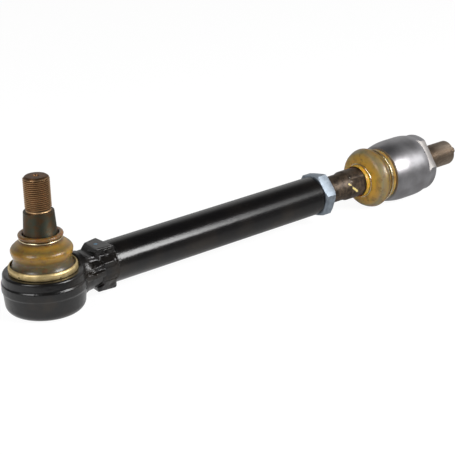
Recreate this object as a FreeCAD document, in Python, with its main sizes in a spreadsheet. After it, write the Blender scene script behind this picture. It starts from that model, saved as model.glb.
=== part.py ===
import FreeCAD, Part
import os
import re
import Sketcher

# Adjustable tie rod with a ball joint at each end.
# The origin is the centre of the outer ball, +X runs along the rod to the axial
# joint, and +Z runs up the tapered stud. All sizes are in millimetres.

SIZES = [
    # ball joints
    ("outer_ball_dia", 33.0, "ball of the tapered stud"),
    ("axial_ball_dia", 32.0, "ball of the adjusting rod"),
    ("ball_flat", 2.0, "depth of the flat that is turned on the end of a ball"),
    ("ball_gap", 0.05, "running gap between a ball and its seats"),
    ("seat_wall", 3.6, "wall of a seat"),
    ("seat_slack", 0.1, "gap between a seat and its bore"),
    ("seat_top", 8.6, "height to which the neck-side seat wraps the ball"),
    ("seat_bevel", 4.1, "bevel on the outer corner of a seat"),
    ("seat_split", 0.3, "half of the gap between the two seats"),
    ("seat_floor", 0.7, "seat material beyond the bottom of the ball"),
    ("seat_hole_dia", 14.4, "grease hole in the cup seat"),
    ("spring_bore", 18.0, "bore of a disc spring"),
    ("spring_thick", 0.9, "sheet thickness of a disc spring"),
    ("spring_height", 1.7, "loaded height of a disc spring"),
    ("spring_room", 0.9, "gap round a disc spring"),
    ("outer_tilt", 22.0, "tilt of the tapered stud each way, in degrees"),
    ("axial_tilt", 20.0, "tilt of the axial joint each way, in degrees"),
    ("tilt_room", 0.6, "gap left at a neck at full tilt"),
    ("overrun", 1.0, "how far a cut runs past a face"),
    # tapered stud
    ("neck_dia", 19.0, "neck above the outer ball"),
    ("neck_top", 23.5, "height at which the neck starts to widen"),
    ("cove_height", 10.0, "height of the cove above the neck"),
    ("stud_collar_dia", 25.6, "collar that carries the boot"),
    ("taper_start", 42.0, "height of the large end of the taper"),
    ("taper_dia", 25.1, "large end of the taper"),
    ("taper_length", 15.5, "length of the taper"),
    ("taper_rate", 8.0, "length of taper for one unit of diameter"),
    ("stud_thread_dia", 20.0, "thread of the tapered stud"),
    ("stud_undercut_dia", 18.2, "undercut below that thread"),
    ("stud_undercut", 2.6, "height of the undercut with its two cones"),
    ("stud_top", 84.3, "top of the stud"),
    ("stud_chamfer", 2.0, "chamfer at the top of the stud"),
    ("centre_drill_dia", 3.6, "centre drilling in the top of the stud"),
    # forging of the outer socket
    ("drum_dia", 62.6, "drum at its parting band"),
    ("drum_top", 11.0, "top face of the drum"),
    ("draft", 5.0, "forging draft, in degrees"),
    ("band_half", 3.5, "half height of the parting band"),
    ("band_proud", 0.8, "how far the trimmed band stands out"),
    ("drum_fillet", 2.0, "round at the top edge of the drum"),
    ("foot_fillet", 7.0, "round at the bottom edge of the drum"),
    ("land_dia", 42.6, "land that the boot foot sits on"),
    ("land_top", 16.3, "top of that land"),
    ("shank_dia", 32.8, "shank behind the drum"),
    ("shank_start", 24.0, "where the shank leaves the drum"),
    ("root_swell", 0.8, "how much the shank widens at the drum"),
    ("root_length", 10.0, "length of that widening"),
    ("lug_across", 35.0, "across the two wrench lugs"),
    ("lug_width", 22.4, "width of a wrench lug at the tube"),
    ("lug_narrow", 19.0, "width of a wrench lug at the drum"),
    ("lug_start", 44.5, "start of the flat of a lug"),
    ("lug_length", 13.5, "length of the flat of a lug"),
    ("lug_slope", 2.0, "length of the sloped end of a lug"),
    ("lug_depth", 8.0, "height of the sloped end of a lug"),
    ("lug_chamfer", 1.5, "chamfer at the tube end of a lug"),
    ("dimple_dia", 5.2, "round dimple in the side of a lug"),
    ("dimple_depth", 0.8, "depth of the dimple"),
    ("dimple_inset", 5.5, "from the flat of a lug to the centre of the dimple"),
    ("waist_dia", 30.6, "shank between the lugs"),
    ("waist_flare", 3.5, "length over which the shank widens to the weld"),
    ("seam_height", 4.4, "height of the trimmed seam along the shank"),
    ("seam_proud", 1.2, "how far that seam stands out"),
    ("spigot_length", 12.0, "spigot of the forging inside the tube"),
    ("spigot_gap", 0.1, "gap round the spigot"),
    # closing plate of the outer socket
    ("plate_seat", 0.6, "depth of the plate seat below the cup seat"),
    ("plate_step", 3.6, "width of the step that the plate rests on"),
    ("plate_rim", 1.9, "thickness of the plate at its rim"),
    ("plate_floor", 2.6, "thickness of the dished middle"),
    ("plate_gap", 0.1, "gap round the plate"),
    ("lip_thick", 0.6, "rolled lip under the plate"),
    ("lip_width", 1.2, "how far the rolled lip reaches in"),
    ("dish_round", 0.8, "rounded edge of the dish"),
    # tube and weld
    ("tube_dia", 33.0, "outside of the tube"),
    ("tube_bore", 23.0, "bore of the tube"),
    ("tube_length", 216.0, "length of the tube"),
    ("tube_chamfer", 0.8, "chamfer at the nut end of the tube"),
    ("weld_groove", 1.1, "depth and half width of the weld groove"),
    ("weld_crown", 1.5, "radius of the crowned weld bead"),
    ("collar_proud", 0.5, "how far the forging stands above the tube"),
    # adjusting rod, with its thread and locknut
    ("rod_thread_dia", 22.0, "thread of the adjusting rod"),
    ("thread_gap", 0.05, "running gap in the threads"),
    ("thread_depth", 60.0, "length of the thread in the tube"),
    ("thread_hold", 52.0, "length of the rod inside the tube"),
    ("nut_across", 34.0, "across the flats of the locknut"),
    ("nut_height", 11.0, "height of the locknut"),
    ("nut_corner", 2.0, "depth of the chamfer on a corner of the nut"),
    ("nut_chamfer_angle", 30.0, "chamfer of the nut corners, in degrees"),
    ("nut_turned", -9.5, "how far the nut is turned, in degrees"),
    ("thread_runout", 1.5, "thread left beyond the locknut"),
    ("rod_chamfer", 1.5, "chamfer at the inner end of the rod"),
    ("rod_neck_dia", 23.2, "forged neck beyond the thread"),
    ("rod_neck_length", 21.0, "length of that neck"),
    ("shoulder_length", 2.5, "cone between neck and boss"),
    ("boss_dia", 25.6, "boss of the rod"),
    ("boss_length", 22.5, "length of the boss"),
    ("boss_flats", 22.0, "across the wrench flats of the boss"),
    ("flat_start", 1.0, "from the start of the boss to its flats"),
    ("flat_length", 15.5, "length of those flats"),
    ("flats_turned", 10.0, "how far the rod is turned, in degrees"),
    ("cone_length", 7.0, "cone from the boss to the ball neck"),
    ("ball_neck_dia", 18.6, "neck of the axial ball"),
    ("ball_neck_length", 31.5, "from that cone to the ball centre"),
    # axial housing and end stud
    ("barrel_dia", 54.6, "widest part of the housing"),
    ("barrel_shoulder_dia", 49.0, "shoulder of the housing at its boot end"),
    ("barrel_end_dia", 50.8, "end face of the housing"),
    ("collar_dia", 41.8, "collar of the housing inside the boot"),
    ("collar_start", 24.3, "from the ball centre back to the end of the collar"),
    ("collar_length", 8.5, "length of the collar"),
    ("swell_end", 3.0, "from the ball centre to the widest part"),
    ("waist_start", 16.0, "from the ball centre to the end of the widest part"),
    ("waist_end", 27.5, "from the ball centre to the straight end"),
    ("barrel_end", 33.0, "from the ball centre to the end face"),
    ("wrench_across", 43.6, "across the wrench flats of the housing"),
    ("wrench_length", 10.5, "length of those flats"),
    ("wrench_turned", -56.1, "how far the housing is turned, in degrees"),
    ("head_inset", 1.5, "end stud's head below the end face"),
    ("head_gap", 0.1, "gap round the end stud's head"),
    ("head_chamfer", 1.6, "chamfer at the inner edge of that head"),
    ("end_thread_dia", 22.0, "thread of the end stud"),
    ("end_relief_dia", 20.4, "relief between head and thread"),
    ("end_relief_length", 3.0, "length of that relief"),
    ("end_thread_length", 40.4, "length of that thread"),
    ("end_chamfer", 2.0, "chamfer at the end of the thread"),
    ("pip_dia", 6.0, "turned pip at the very end"),
    ("pip_length", 8.5, "length of the pip"),
    # outer boot and its rings
    ("boot_gap", 0.3, "gap between a boot and what it seals on"),
    ("boot_wall", 2.1, "wall of a boot"),
    ("foot_wall", 2.6, "wall of the boot foot"),
    ("foot_start", 0.3, "boot foot above the drum"),
    ("boot_waist_dia", 43.2, "waist of the outer boot"),
    ("boot_waist", 20.8, "height of that waist"),
    ("boot_bulge_dia", 46.8, "bulge of the outer boot"),
    ("boot_bulge", 27.4, "height of that bulge"),
    ("boot_round", 1.4, "half height of the rounded bulge"),
    ("bulge_arc", 1.8, "radius of the rounded bulge"),
    ("boot_neck_wall", 1.8, "wall of the boot in the groove of the top ring"),
    ("boot_throat", 35.4, "height at which the boot closes on the stud"),
    ("boot_flange_dia", 34.0, "flange at the top of the boot"),
    ("boot_flange", 3.0, "thickness of that flange"),
    ("flange_round", 0.9, "bevel at the edge of that flange"),
    ("boot_top", 40.5, "top of the boot"),
    ("ring_wire", 1.3, "wire of the two small boot rings"),
    ("band_wall", 1.5, "wall of the clamp band"),
    ("band_height", 5.3, "height of the clamp band"),
    ("band_round", 1.2, "turned-in top edge of the clamp band"),
    ("band_edge", 0.4, "bevel at the lower edge of the clamp band"),
    ("band_room", 0.6, "gap between the clamp band and the shank"),
    # axial boot and its rings
    ("disc_dia", 52.5, "disc of the axial boot"),
    ("disc_width", 2.6, "width of the rim of the disc"),
    ("disc_rim", 29.2, "from the ball centre back to the middle of the rim"),
    ("disc_crown", 4.2, "height at which the disc rises from the lip"),
    ("disc_foot", 0.8, "how far that rise leans towards the rim"),
    ("disc_arc", 13.5, "radius of the crowned face of the disc"),
    ("disc_bevel", 1.0, "bevel at the housing side of the rim"),
    ("lip_length", 5.6, "length of the boot lip on the boss"),
    ("lip_wall", 1.2, "wall of the boot lip"),
    ("tail_wall", 2.0, "wall of the boot on the housing"),
    ("fold_depth", 1.0, "depth of the fold between disc and housing"),
    ("fold_width", 1.7, "width of the floor of that fold"),
    ("fold_room", 1.0, "how far the fold dips below the tail inside"),
    ("fold_slope", 2.5, "length of that dip"),
    ("groove_depth", 0.75, "depth of the ring grooves in the axial boot"),
    ("groove_width", 2.1, "width of those grooves"),
    ("clamp_wire", 1.5, "wire of the clamp ring at the housing"),
    ("clamp_inset", 2.5, "from the end of the collar to the clamp ring"),
]

doc = FreeCAD.newDocument("TieRod")
sheet = doc.addObject("Spreadsheet::Sheet", "Sizes")
for row, (alias, number, meaning) in enumerate(SIZES, start=1):
    sheet.set(f"A{row}", alias)
    sheet.set(f"B{row}", str(number))
    sheet.set(f"C{row}", meaning)
    sheet.setAlias(f"B{row}", alias)
doc.recompute()

SIZE_NAME = re.compile(r"\b(" + "|".join(alias for alias, number, meaning in SIZES) + r")\b")

# Places that several pieces share, written as formulas on the sizes.
SEAT_END = "seat_top - seat_bevel"
SPIGOT_R = "(tube_bore / 2 - spigot_gap)"
TUBE_START = "(lug_start + lug_length + weld_groove)"
TUBE_END = f"({TUBE_START} + tube_length)"
NUT_END = f"({TUBE_END} + nut_height)"
ROD_NECK = f"({NUT_END} + thread_runout)"
BOSS_START = f"({ROD_NECK} + rod_neck_length + shoulder_length)"
AXIAL = f"({BOSS_START} + boss_length + cone_length + ball_neck_length)"
THREAD_R = "(rod_thread_dia / 2 + thread_gap)"
COLLAR_R = "(tube_dia / 2 + collar_proud)"
BAND_R = "(land_dia / 2 + 2 * boot_gap + foot_wall)"
FLANGE_START = "(boot_top - boot_flange)"
TOP_GROOVE_R = "(stud_collar_dia / 2 + boot_gap + boot_neck_wall)"
BOSS_BACK = "(ball_neck_length + cone_length)"
LIP_R = "(boss_dia / 2 + boot_gap + lip_wall)"
TAIL_R = "(collar_dia / 2 + boot_gap + tail_wall)"
TAIL_END = "(collar_start - collar_length + boot_gap)"


def seat_in(ball):
    """Radius of the sphere inside a seat."""
    return f"({ball} / 2 + ball_gap)"


def seat_out(ball):
    """Outer radius of a seat."""
    return f"({ball} / 2 + ball_gap + seat_wall)"


def bore(ball):
    """Radius of the bore that holds the seats."""
    return f"({ball} / 2 + ball_gap + seat_wall + seat_slack)"


def floor_depth(ball):
    """Depth of the bottom of the cup seat below the ball centre."""
    return f"({ball} / 2 + ball_gap + seat_floor)"


def spring_end(ball):
    """Depth of the far side of the disc spring below the ball centre."""
    return f"({ball} / 2 + ball_gap + seat_floor + spring_height)"


def throat(neck, tilt, height):
    """Radius that clears a neck at full tilt, at a height above the ball centre."""
    return f"({neck} / 2 / cos({tilt}) + ({height}) * tan({tilt}) + tilt_room)"


def drafted(height):
    """Radius of the drum at a height above or below its parting band."""
    return f"(drum_dia / 2 - ({height} - band_half) * tan(draft))"


PLATE_SEAT = f"({floor_depth('outer_ball_dia')} + plate_seat)"
LIP_TOP = f"({PLATE_SEAT} + plate_rim)"
DRUM_BOTTOM = f"({LIP_TOP} + lip_thick)"
PLATE_R = f"({bore('outer_ball_dia')} + plate_step)"
DISH_R = f"({PLATE_R} - lip_width - plate_gap)"
PLATE_BOTTOM = f"({spring_end('outer_ball_dia')} + plate_floor)"


def formula(text):
    """Write a formula with every size as a cell of the sheet."""
    return SIZE_NAME.sub(r"Sizes.\1", text)


def value(text):
    """Work out a formula."""
    return float(sheet.evalExpression(formula(text)))


def bind(item, prop, text):
    """Tie a property of an object to a formula."""
    item.setExpression(prop, formula(text))


def piece(label, along="0", turn=None, axis=(1, 0, 0)):
    """Start the body of one piece.

    along is its place on the X axis, and turn its angle about axis in degrees.
    """
    body = doc.addObject("PartDesign::Body", label)
    body.Label = label
    body.Placement = FreeCAD.Placement(FreeCAD.Vector(0, 0, 0), FreeCAD.Rotation(FreeCAD.Vector(*axis), 0))
    if along != "0":
        bind(body, "Placement.Base.x", along)
    if turn is not None:
        body.Placement.Rotation = FreeCAD.Rotation(FreeCAD.Vector(*axis), value(turn))
        bind(body, "Placement.Rotation.Angle", turn)
    return body


def sketch_on(body, name, plane, offset=None):
    """Add a sketch on one of the body's own planes."""
    sketch = body.newObject("Sketcher::SketchObject", name)
    support = next(item for item in body.Origin.OriginFeatures if item.Role == plane)
    sketch.AttachmentSupport = [(support, "")]
    sketch.MapMode = "FlatFace"
    if offset is not None:
        bind(sketch, "AttachmentOffset.Base.z", offset)
    return sketch


def arc_between(start, end, radius):
    """Short arc between two points, to the left for a positive radius."""
    span = end - start
    left = FreeCAD.Vector(-span.y, span.x, 0).normalize()
    size = abs(radius)
    rise = max(size * size - span.Length * span.Length / 4, 0) ** 0.5
    side = 1 if radius > 0 else -1
    centre = (start + end) / 2 + left * rise * side
    circle = Part.Circle(centre, FreeCAD.Vector(0, 0, 1), size)
    ends = (start, end) if radius > 0 else (end, start)
    first, last = (circle.parameter(point) for point in ends)
    return Part.ArcOfCircle(circle, first, last)


def fix(sketch, item, point, axis, text):
    """Hold one coordinate of a point at a formula."""
    if text == "0":
        line = -2 if axis == "X" else -1
        sketch.addConstraint(Sketcher.Constraint("PointOnObject", item, point, line))
        return
    number = value(text)
    rule = Sketcher.Constraint(f"Distance{axis}", -1, 1, item, point, number)
    index = sketch.addConstraint(rule)
    name = f"{axis.lower()}{item}_{point}"
    sketch.renameConstraint(index, name)
    bind(sketch, f"Constraints.{name}", text)


def outline(sketch, path):
    """Draw a closed outline.

    path lists the corners as (across, up) formulas. A third formula is the radius
    of the arc that leads to that corner, and a minus sign turns the arc right.
    """
    places = [FreeCAD.Vector(value(corner[0]), value(corner[1]), 0) for corner in path]
    first = sketch.GeometryCount
    ends = []
    for index, corner in enumerate(path):
        start = places[index - 1]
        end = places[index]
        if len(corner) == 2:
            sketch.addGeometry(Part.LineSegment(start, end), False)
            ends.append((1, 2))
            continue
        radius = value(corner[2])
        item = sketch.addGeometry(arc_between(start, end, radius), False)
        ends.append((1, 2) if radius > 0 else (2, 1))
        number = sketch.addConstraint(Sketcher.Constraint("Radius", item, abs(radius)))
        sketch.renameConstraint(number, f"r{item}")
        bind(sketch, f"Constraints.r{item}", f"abs({corner[2]})")
    for index in range(len(path)):
        after = (index + 1) % len(path)
        join = (first + index, ends[index][1], first + after, ends[after][0])
        sketch.addConstraint(Sketcher.Constraint("Coincident", *join))
    for index, corner in enumerate(path):
        fix(sketch, first + index, ends[index][1], "X", corner[0])
        fix(sketch, first + index, ends[index][1], "Y", corner[1])


def turned(body, name, path, axis="H_Axis", cut=False):
    """Turn an outline in the XZ plane about X, or about Z with axis V_Axis."""
    sketch = sketch_on(body, f"{name}Outline", "XZ_Plane")
    outline(sketch, path)
    kind = "PartDesign::Groove" if cut else "PartDesign::Revolution"
    feature = body.newObject(kind, name)
    feature.Profile = sketch
    feature.ReferenceAxis = (sketch, [axis])
    check_step(body, feature, cut)
    return feature


def padded(body, name, plane, path, length):
    """Raise an outline evenly to both sides of its plane."""
    sketch = sketch_on(body, f"{name}Outline", plane)
    outline(sketch, path)
    feature = body.newObject("PartDesign::Pad", name)
    feature.Profile = sketch
    feature.SideType = "Symmetric"
    bind(feature, "Length", length)
    check_step(body, feature, False)
    return feature


def check_step(body, feature, cut):
    """Stop if a feature adds or cuts nothing."""
    base = feature.BaseFeature
    before = base.Shape.Volume if base else 0.0
    doc.recompute()
    after = feature.Shape.Volume
    if (after >= before) if cut else (after <= before):
        raise RuntimeError(f"{body.Label}: {feature.Name} changes nothing")


def wire_ring(label, radius, wire, along, upright):
    """Round wire ring about X, or about Z where upright is true."""
    ring = doc.addObject("Part::Torus", label)
    ring.Label = label
    bind(ring, "Radius1", radius)
    bind(ring, "Radius2", f"{wire} / 2")
    if upright:
        bind(ring, "Placement.Base.z", along)
        return ring
    ring.Placement = FreeCAD.Placement(FreeCAD.Vector(0, 0, 0), FreeCAD.Rotation(FreeCAD.Vector(0, 1, 0), 90))
    bind(ring, "Placement.Base.x", along)
    return ring


def ball_arc(ball, height):
    """Radius of a ball's surface at a height from its centre."""
    return f"sqrt(({ball} / 2)^2 - ({height})^2)"


def seat_arc(ball, height):
    """Radius of a seat's inner sphere at a height from its centre."""
    return f"sqrt({seat_in(ball)}^2 - ({height})^2)"


def neck_seat(label, ball, along, turn):
    """Seat ring on the neck side of a ball, with its axis along the neck."""
    body = piece(label, along, turn, (0, 1, 0))
    turned(body, "Ring", [
        (seat_out(ball), "seat_split"),
        (seat_out(ball), SEAT_END),
        (f"{seat_out(ball)} - seat_bevel", "seat_top"),
        (seat_arc(ball, "seat_top"), "seat_top"),
        (seat_arc(ball, "seat_split"), "seat_split", f"-{seat_in(ball)}"),
    ], "V_Axis")
    return body


def cup_seat(label, ball, along, turn):
    """Seat cup under a ball, with a grease hole in its floor."""
    body = piece(label, along, turn, (0, 1, 0))
    turned(body, "Cup", [
        (seat_out(ball), "-seat_split"),
        (seat_arc(ball, "seat_split"), "-seat_split"),
        ("seat_hole_dia / 2", f"-{seat_arc(ball, 'seat_hole_dia / 2')}", f"-{seat_in(ball)}"),
        ("seat_hole_dia / 2", f"-{floor_depth(ball)}"),
        (f"{seat_out(ball)} - seat_bevel", f"-{floor_depth(ball)}"),
        (seat_out(ball), f"-({floor_depth(ball)} - seat_bevel)"),
    ], "V_Axis")
    return body


def disc_spring(label, ball, along, turn):
    """Coned disc spring between a cup seat and the piece that closes the socket."""
    body = piece(label, along, turn, (0, 1, 0))
    outer = f"({bore(ball)} - spring_room)"
    turned(body, "Disc", [
        ("spring_bore / 2", f"-{floor_depth(ball)}"),
        ("spring_bore / 2", f"-({floor_depth(ball)} + spring_thick)"),
        (outer, f"-{spring_end(ball)}"),
        (outer, f"-({spring_end(ball)} - spring_thick)"),
    ], "V_Axis")
    return body


def lug_half(along):
    """Half width of a lug at a place along X."""
    share = f"(({along}) - lug_start) / lug_length"
    return f"(lug_narrow + (lug_width - lug_narrow) * {share}) / 2"


def lug_sides(body):
    """Trim both sides of the lugs, which are narrower at the drum than at the tube."""
    start = "(lug_start - lug_slope - overrun)"
    end = "(lug_start + lug_length + overrun)"
    reach = "(lug_width / 2 + overrun)"
    sketch = sketch_on(body, "LugSidesOutline", "XY_Plane")
    for side in ("", "-"):
        outline(sketch, [
            (start, f"{side}({lug_half(start)})"),
            (end, f"{side}({lug_half(end)})"),
            (end, f"{side}({reach})"),
            (start, f"{side}({reach})"),
        ])
    cut = body.newObject("PartDesign::Pocket", "LugSides")
    cut.Profile = sketch
    cut.SideType = "Symmetric"
    bind(cut, "Length", "lug_across + 2 * overrun")
    check_step(body, cut, True)


def socket_forging():
    """Drum, shank and wrench lugs, forged in one, bored for the outer ball."""
    body = piece("socket_forging")
    low = "lug_across / 2 - lug_depth"
    end = "lug_start + lug_length"
    padded(body, "Lugs", "XZ_Plane", [
        ("lug_start - lug_slope", f"-({low})"),
        ("lug_start", "-lug_across / 2"),
        (f"{end} - lug_chamfer", "-lug_across / 2"),
        (end, "-(lug_across / 2 - lug_chamfer)"),
        (end, "lug_across / 2 - lug_chamfer"),
        (f"{end} - lug_chamfer", "lug_across / 2"),
        ("lug_start", "lug_across / 2"),
        ("lug_start - lug_slope", low),
    ], "lug_width")
    lug_sides(body)
    # The swell at the root meets the plain shank on an arc that is level there.
    root_arc = "(root_length^2 + root_swell^2) / (2 * root_swell)"
    turned(body, "Shank", [
        ("shank_start", "0"),
        ("shank_start", "shank_dia / 2 + root_swell"),
        ("shank_start + root_length", "shank_dia / 2", root_arc),
        ("lug_start", "waist_dia / 2"),
        (f"{end} - waist_flare", "waist_dia / 2"),
        (end, COLLAR_R),
        (TUBE_START, f"{COLLAR_R} - weld_groove - collar_proud"),
        (TUBE_START, SPIGOT_R),
        (f"{TUBE_START} + spigot_length", SPIGOT_R),
        (f"{TUBE_START} + spigot_length", "0"),
    ])
    edge = drafted("(drum_top - drum_fillet)")
    foot = drafted(f"({DRUM_BOTTOM} - foot_fillet)")
    turned(body, "Drum", [
        ("0", f"-{DRUM_BOTTOM}"),
        (f"{foot} - foot_fillet", f"-{DRUM_BOTTOM}"),
        (foot, f"-({DRUM_BOTTOM} - foot_fillet)", "foot_fillet"),
        ("drum_dia / 2", "-band_half"),
        ("drum_dia / 2 + band_proud", "-(band_half - band_proud / 2)"),
        ("drum_dia / 2 + band_proud", "band_half - band_proud / 2"),
        ("drum_dia / 2", "band_half"),
        (edge, "drum_top - drum_fillet"),
        (f"{edge} - drum_fillet", "drum_top", "drum_fillet"),
        ("land_dia / 2", "drum_top"),
        ("land_dia / 2", "land_top"),
        ("0", "land_top"),
    ], "V_Axis")
    side = "shank_dia / 2 + seam_proud"
    padded(body, "Seam", "XY_Plane", [
        ("shank_start", f"-({side} + root_swell)"),
        ("shank_start + root_length", f"-({side})"),
        ("lug_start", "-(waist_dia / 2 + seam_proud)"),
        (f"{end} - waist_flare", "-(waist_dia / 2 + seam_proud)"),
        (end, f"-{COLLAR_R}"),
        (end, COLLAR_R),
        (f"{end} - waist_flare", "waist_dia / 2 + seam_proud"),
        ("lug_start", "waist_dia / 2 + seam_proud"),
        ("shank_start + root_length", side),
        ("shank_start", f"{side} + root_swell"),
    ], "seam_height")
    ring_room = f"({BAND_R} + band_wall + band_room)"
    turned(body, "BandRoom", [
        ("land_dia / 2", "drum_top"),
        (ring_room, "drum_top"),
        (ring_room, "drum_top + 2 * band_height"),
        ("land_dia / 2", "drum_top + 2 * band_height"),
    ], "V_Axis", cut=True)
    socket = bore("outer_ball_dia")
    roof = "(seat_top + seat_slack)"
    turned(body, "Socket", [
        ("0", f"-({DRUM_BOTTOM} + overrun)"),
        (f"{PLATE_R} - lip_width", f"-({DRUM_BOTTOM} + overrun)"),
        (f"{PLATE_R} - lip_width", f"-{LIP_TOP}"),
        (PLATE_R, f"-{LIP_TOP}"),
        (PLATE_R, f"-{PLATE_SEAT}"),
        (socket, f"-{PLATE_SEAT}"),
        (socket, f"{SEAT_END} + seat_slack"),
        (f"{socket} - seat_bevel", roof),
        (throat("neck_dia", "outer_tilt", roof), roof),
        (throat("neck_dia", "outer_tilt", "land_top + overrun"), "land_top + overrun"),
        ("0", "land_top + overrun"),
    ], "V_Axis", cut=True)
    centre = ("lug_start + lug_length / 2", "lug_across / 2 - dimple_inset")
    mark = sketch_on(body, "DimpleOutline", "XZ_Plane", lug_half(centre[0]))
    spot = FreeCAD.Vector(value(centre[0]), value(centre[1]), 0)
    circle = Part.Circle(spot, FreeCAD.Vector(0, 0, 1), value("dimple_dia / 2"))
    mark.addGeometry(circle, False)
    number = mark.addConstraint(Sketcher.Constraint("Radius", 0, value("dimple_dia / 2")))
    mark.renameConstraint(number, "size")
    bind(mark, "Constraints.size", "dimple_dia / 2")
    fix(mark, 0, 3, "X", centre[0])
    fix(mark, 0, 3, "Y", centre[1])
    dimple = body.newObject("PartDesign::Pocket", "Dimple")
    dimple.Profile = mark
    bind(dimple, "Length", "dimple_depth")
    check_step(body, dimple, True)
    return body


def closing_plate():
    """Dished plate that the rolled lip holds in the bottom of the drum."""
    body = piece("closing_plate")
    rim = f"({PLATE_R} - plate_gap)"
    top = spring_end("outer_ball_dia")
    turned(body, "Plate", [
        ("0", f"-{PLATE_BOTTOM}"),
        (f"{DISH_R} - dish_round", f"-{PLATE_BOTTOM}"),
        (DISH_R, f"-({PLATE_BOTTOM} - dish_round)", "dish_round"),
        (DISH_R, f"-{LIP_TOP}"),
        (rim, f"-{LIP_TOP}"),
        (rim, f"-{PLATE_SEAT}"),
        (bore("outer_ball_dia"), f"-{PLATE_SEAT}"),
        (f"{bore('outer_ball_dia')} - plate_seat", f"-{top}"),
        ("0", f"-{top}"),
    ], "V_Axis")
    return body


def outer_ball_stud():
    """Tapered stud with its ball, neck, boot collar and thread."""
    body = piece("outer_ball_stud")
    flat = "(outer_ball_dia / 2 - ball_flat)"
    cove = "(stud_collar_dia / 2 - neck_dia / 2)"
    cove_arc = f"(cove_height^2 + {cove}^2) / (2 * {cove})"
    taper_end = "(taper_start + taper_length)"
    small = "(taper_dia / 2 - taper_length / taper_rate / 2)"
    step = "(taper_dia - stud_collar_dia)"
    crest = "stud_thread_dia / 2"
    turned(body, "Stud", [
        ("0", f"-{flat}"),
        (ball_arc("outer_ball_dia", flat), f"-{flat}"),
        ("neck_dia / 2", ball_arc("outer_ball_dia", "neck_dia / 2"), "outer_ball_dia / 2"),
        ("neck_dia / 2", "neck_top"),
        ("stud_collar_dia / 2", "neck_top + cove_height", f"-{cove_arc}"),
        ("stud_collar_dia / 2", f"taper_start + {step}"),
        ("taper_dia / 2", "taper_start"),
        (small, taper_end),
        ("stud_undercut_dia / 2", f"{taper_end} + stud_undercut / 3"),
        ("stud_undercut_dia / 2", f"{taper_end} + stud_undercut * 2 / 3"),
        (crest, f"{taper_end} + stud_undercut"),
        (crest, "stud_top - stud_chamfer"),
        (f"{crest} - stud_chamfer", "stud_top"),
        ("centre_drill_dia / 2", "stud_top"),
        ("0", "stud_top - centre_drill_dia / 2"),
    ], "V_Axis")
    return body


def outer_boot():
    """Hat-shaped boot between the land of the drum and the collar of the stud."""
    body = piece("outer_boot")
    start = "(drum_top + foot_start)"
    inside = "(land_dia / 2 + boot_gap)"
    outside = "(land_dia / 2 + boot_gap + foot_wall)"
    on_stud = "(stud_collar_dia / 2 + boot_gap)"
    waist = "boot_waist_dia / 2"
    bulge = "boot_bulge_dia / 2"
    low = "(boot_bulge - boot_round)"
    high = "(boot_bulge + boot_round)"
    turned(body, "Boot", [
        (inside, start),
        (outside, start),
        (outside, "land_top - boot_round"),
        (f"{outside} - boot_round", "land_top"),
        (waist, "boot_waist - boot_round / 2"),
        (waist, "boot_waist + boot_round / 2"),
        (bulge, low),
        (bulge, high, "bulge_arc"),
        (f"{bulge} - 2 * boot_round", f"{high} + 2 * boot_round"),
        (TOP_GROOVE_R, "boot_throat"),
        (TOP_GROOVE_R, FLANGE_START),
        ("boot_flange_dia / 2 - flange_round", FLANGE_START),
        ("boot_flange_dia / 2", f"{FLANGE_START} + flange_round"),
        ("boot_flange_dia / 2", "boot_top - flange_round"),
        ("boot_flange_dia / 2 - flange_round", "boot_top"),
        (on_stud, "boot_top"),
        (on_stud, "boot_throat - boot_wall"),
        (f"{bulge} - boot_wall - boot_round", f"{high} + boot_round / 2"),
        (f"{bulge} - boot_wall", "boot_bulge"),
        (f"{waist} - boot_wall", "boot_waist + boot_round"),
        (f"{waist} - boot_wall", "boot_waist - boot_round / 2"),
        (inside, "land_top + boot_gap"),
    ], "V_Axis")
    return body


def outer_boot_clamp_band():
    """Pressed band that holds the boot foot on its land."""
    body = piece("outer_boot_clamp_band")
    start = "drum_top"
    top = "(drum_top + band_height)"
    outside = f"({BAND_R} + band_wall)"
    turned(body, "Band", [
        (BAND_R, start),
        (f"{outside} - band_edge", start),
        (outside, f"{start} + band_edge"),
        (outside, f"{top} - 2 * band_round"),
        (f"{outside} - band_round", top, "2 * band_round"),
        (BAND_R, top),
    ], "V_Axis")
    return body


def tube():
    """Steel tube, threaded inside at the nut end."""
    body = piece("tube")
    outside = "tube_dia / 2"
    turned(body, "Wall", [
        (TUBE_START, "tube_bore / 2"),
        (TUBE_START, f"{outside} - weld_groove"),
        (f"{TUBE_START} + weld_groove", outside),
        (f"{TUBE_END} - tube_chamfer", outside),
        (TUBE_END, f"{outside} - tube_chamfer"),
        (TUBE_END, f"{THREAD_R} + tube_chamfer"),
        (f"{TUBE_END} - tube_chamfer", THREAD_R),
        (f"{TUBE_END} - thread_depth", THREAD_R),
        (f"{TUBE_END} - thread_depth - tube_chamfer", "tube_bore / 2"),
    ])
    return body


def tube_weld():
    """Weld bead in the groove between the forging and the tube."""
    body = piece("tube_weld")
    turned(body, "Bead", [
        (TUBE_START, "tube_dia / 2 - weld_groove"),
        (f"{TUBE_START} + weld_groove", "tube_dia / 2"),
        (f"{TUBE_START} - weld_groove", COLLAR_R, "weld_crown"),
    ])
    return body


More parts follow.
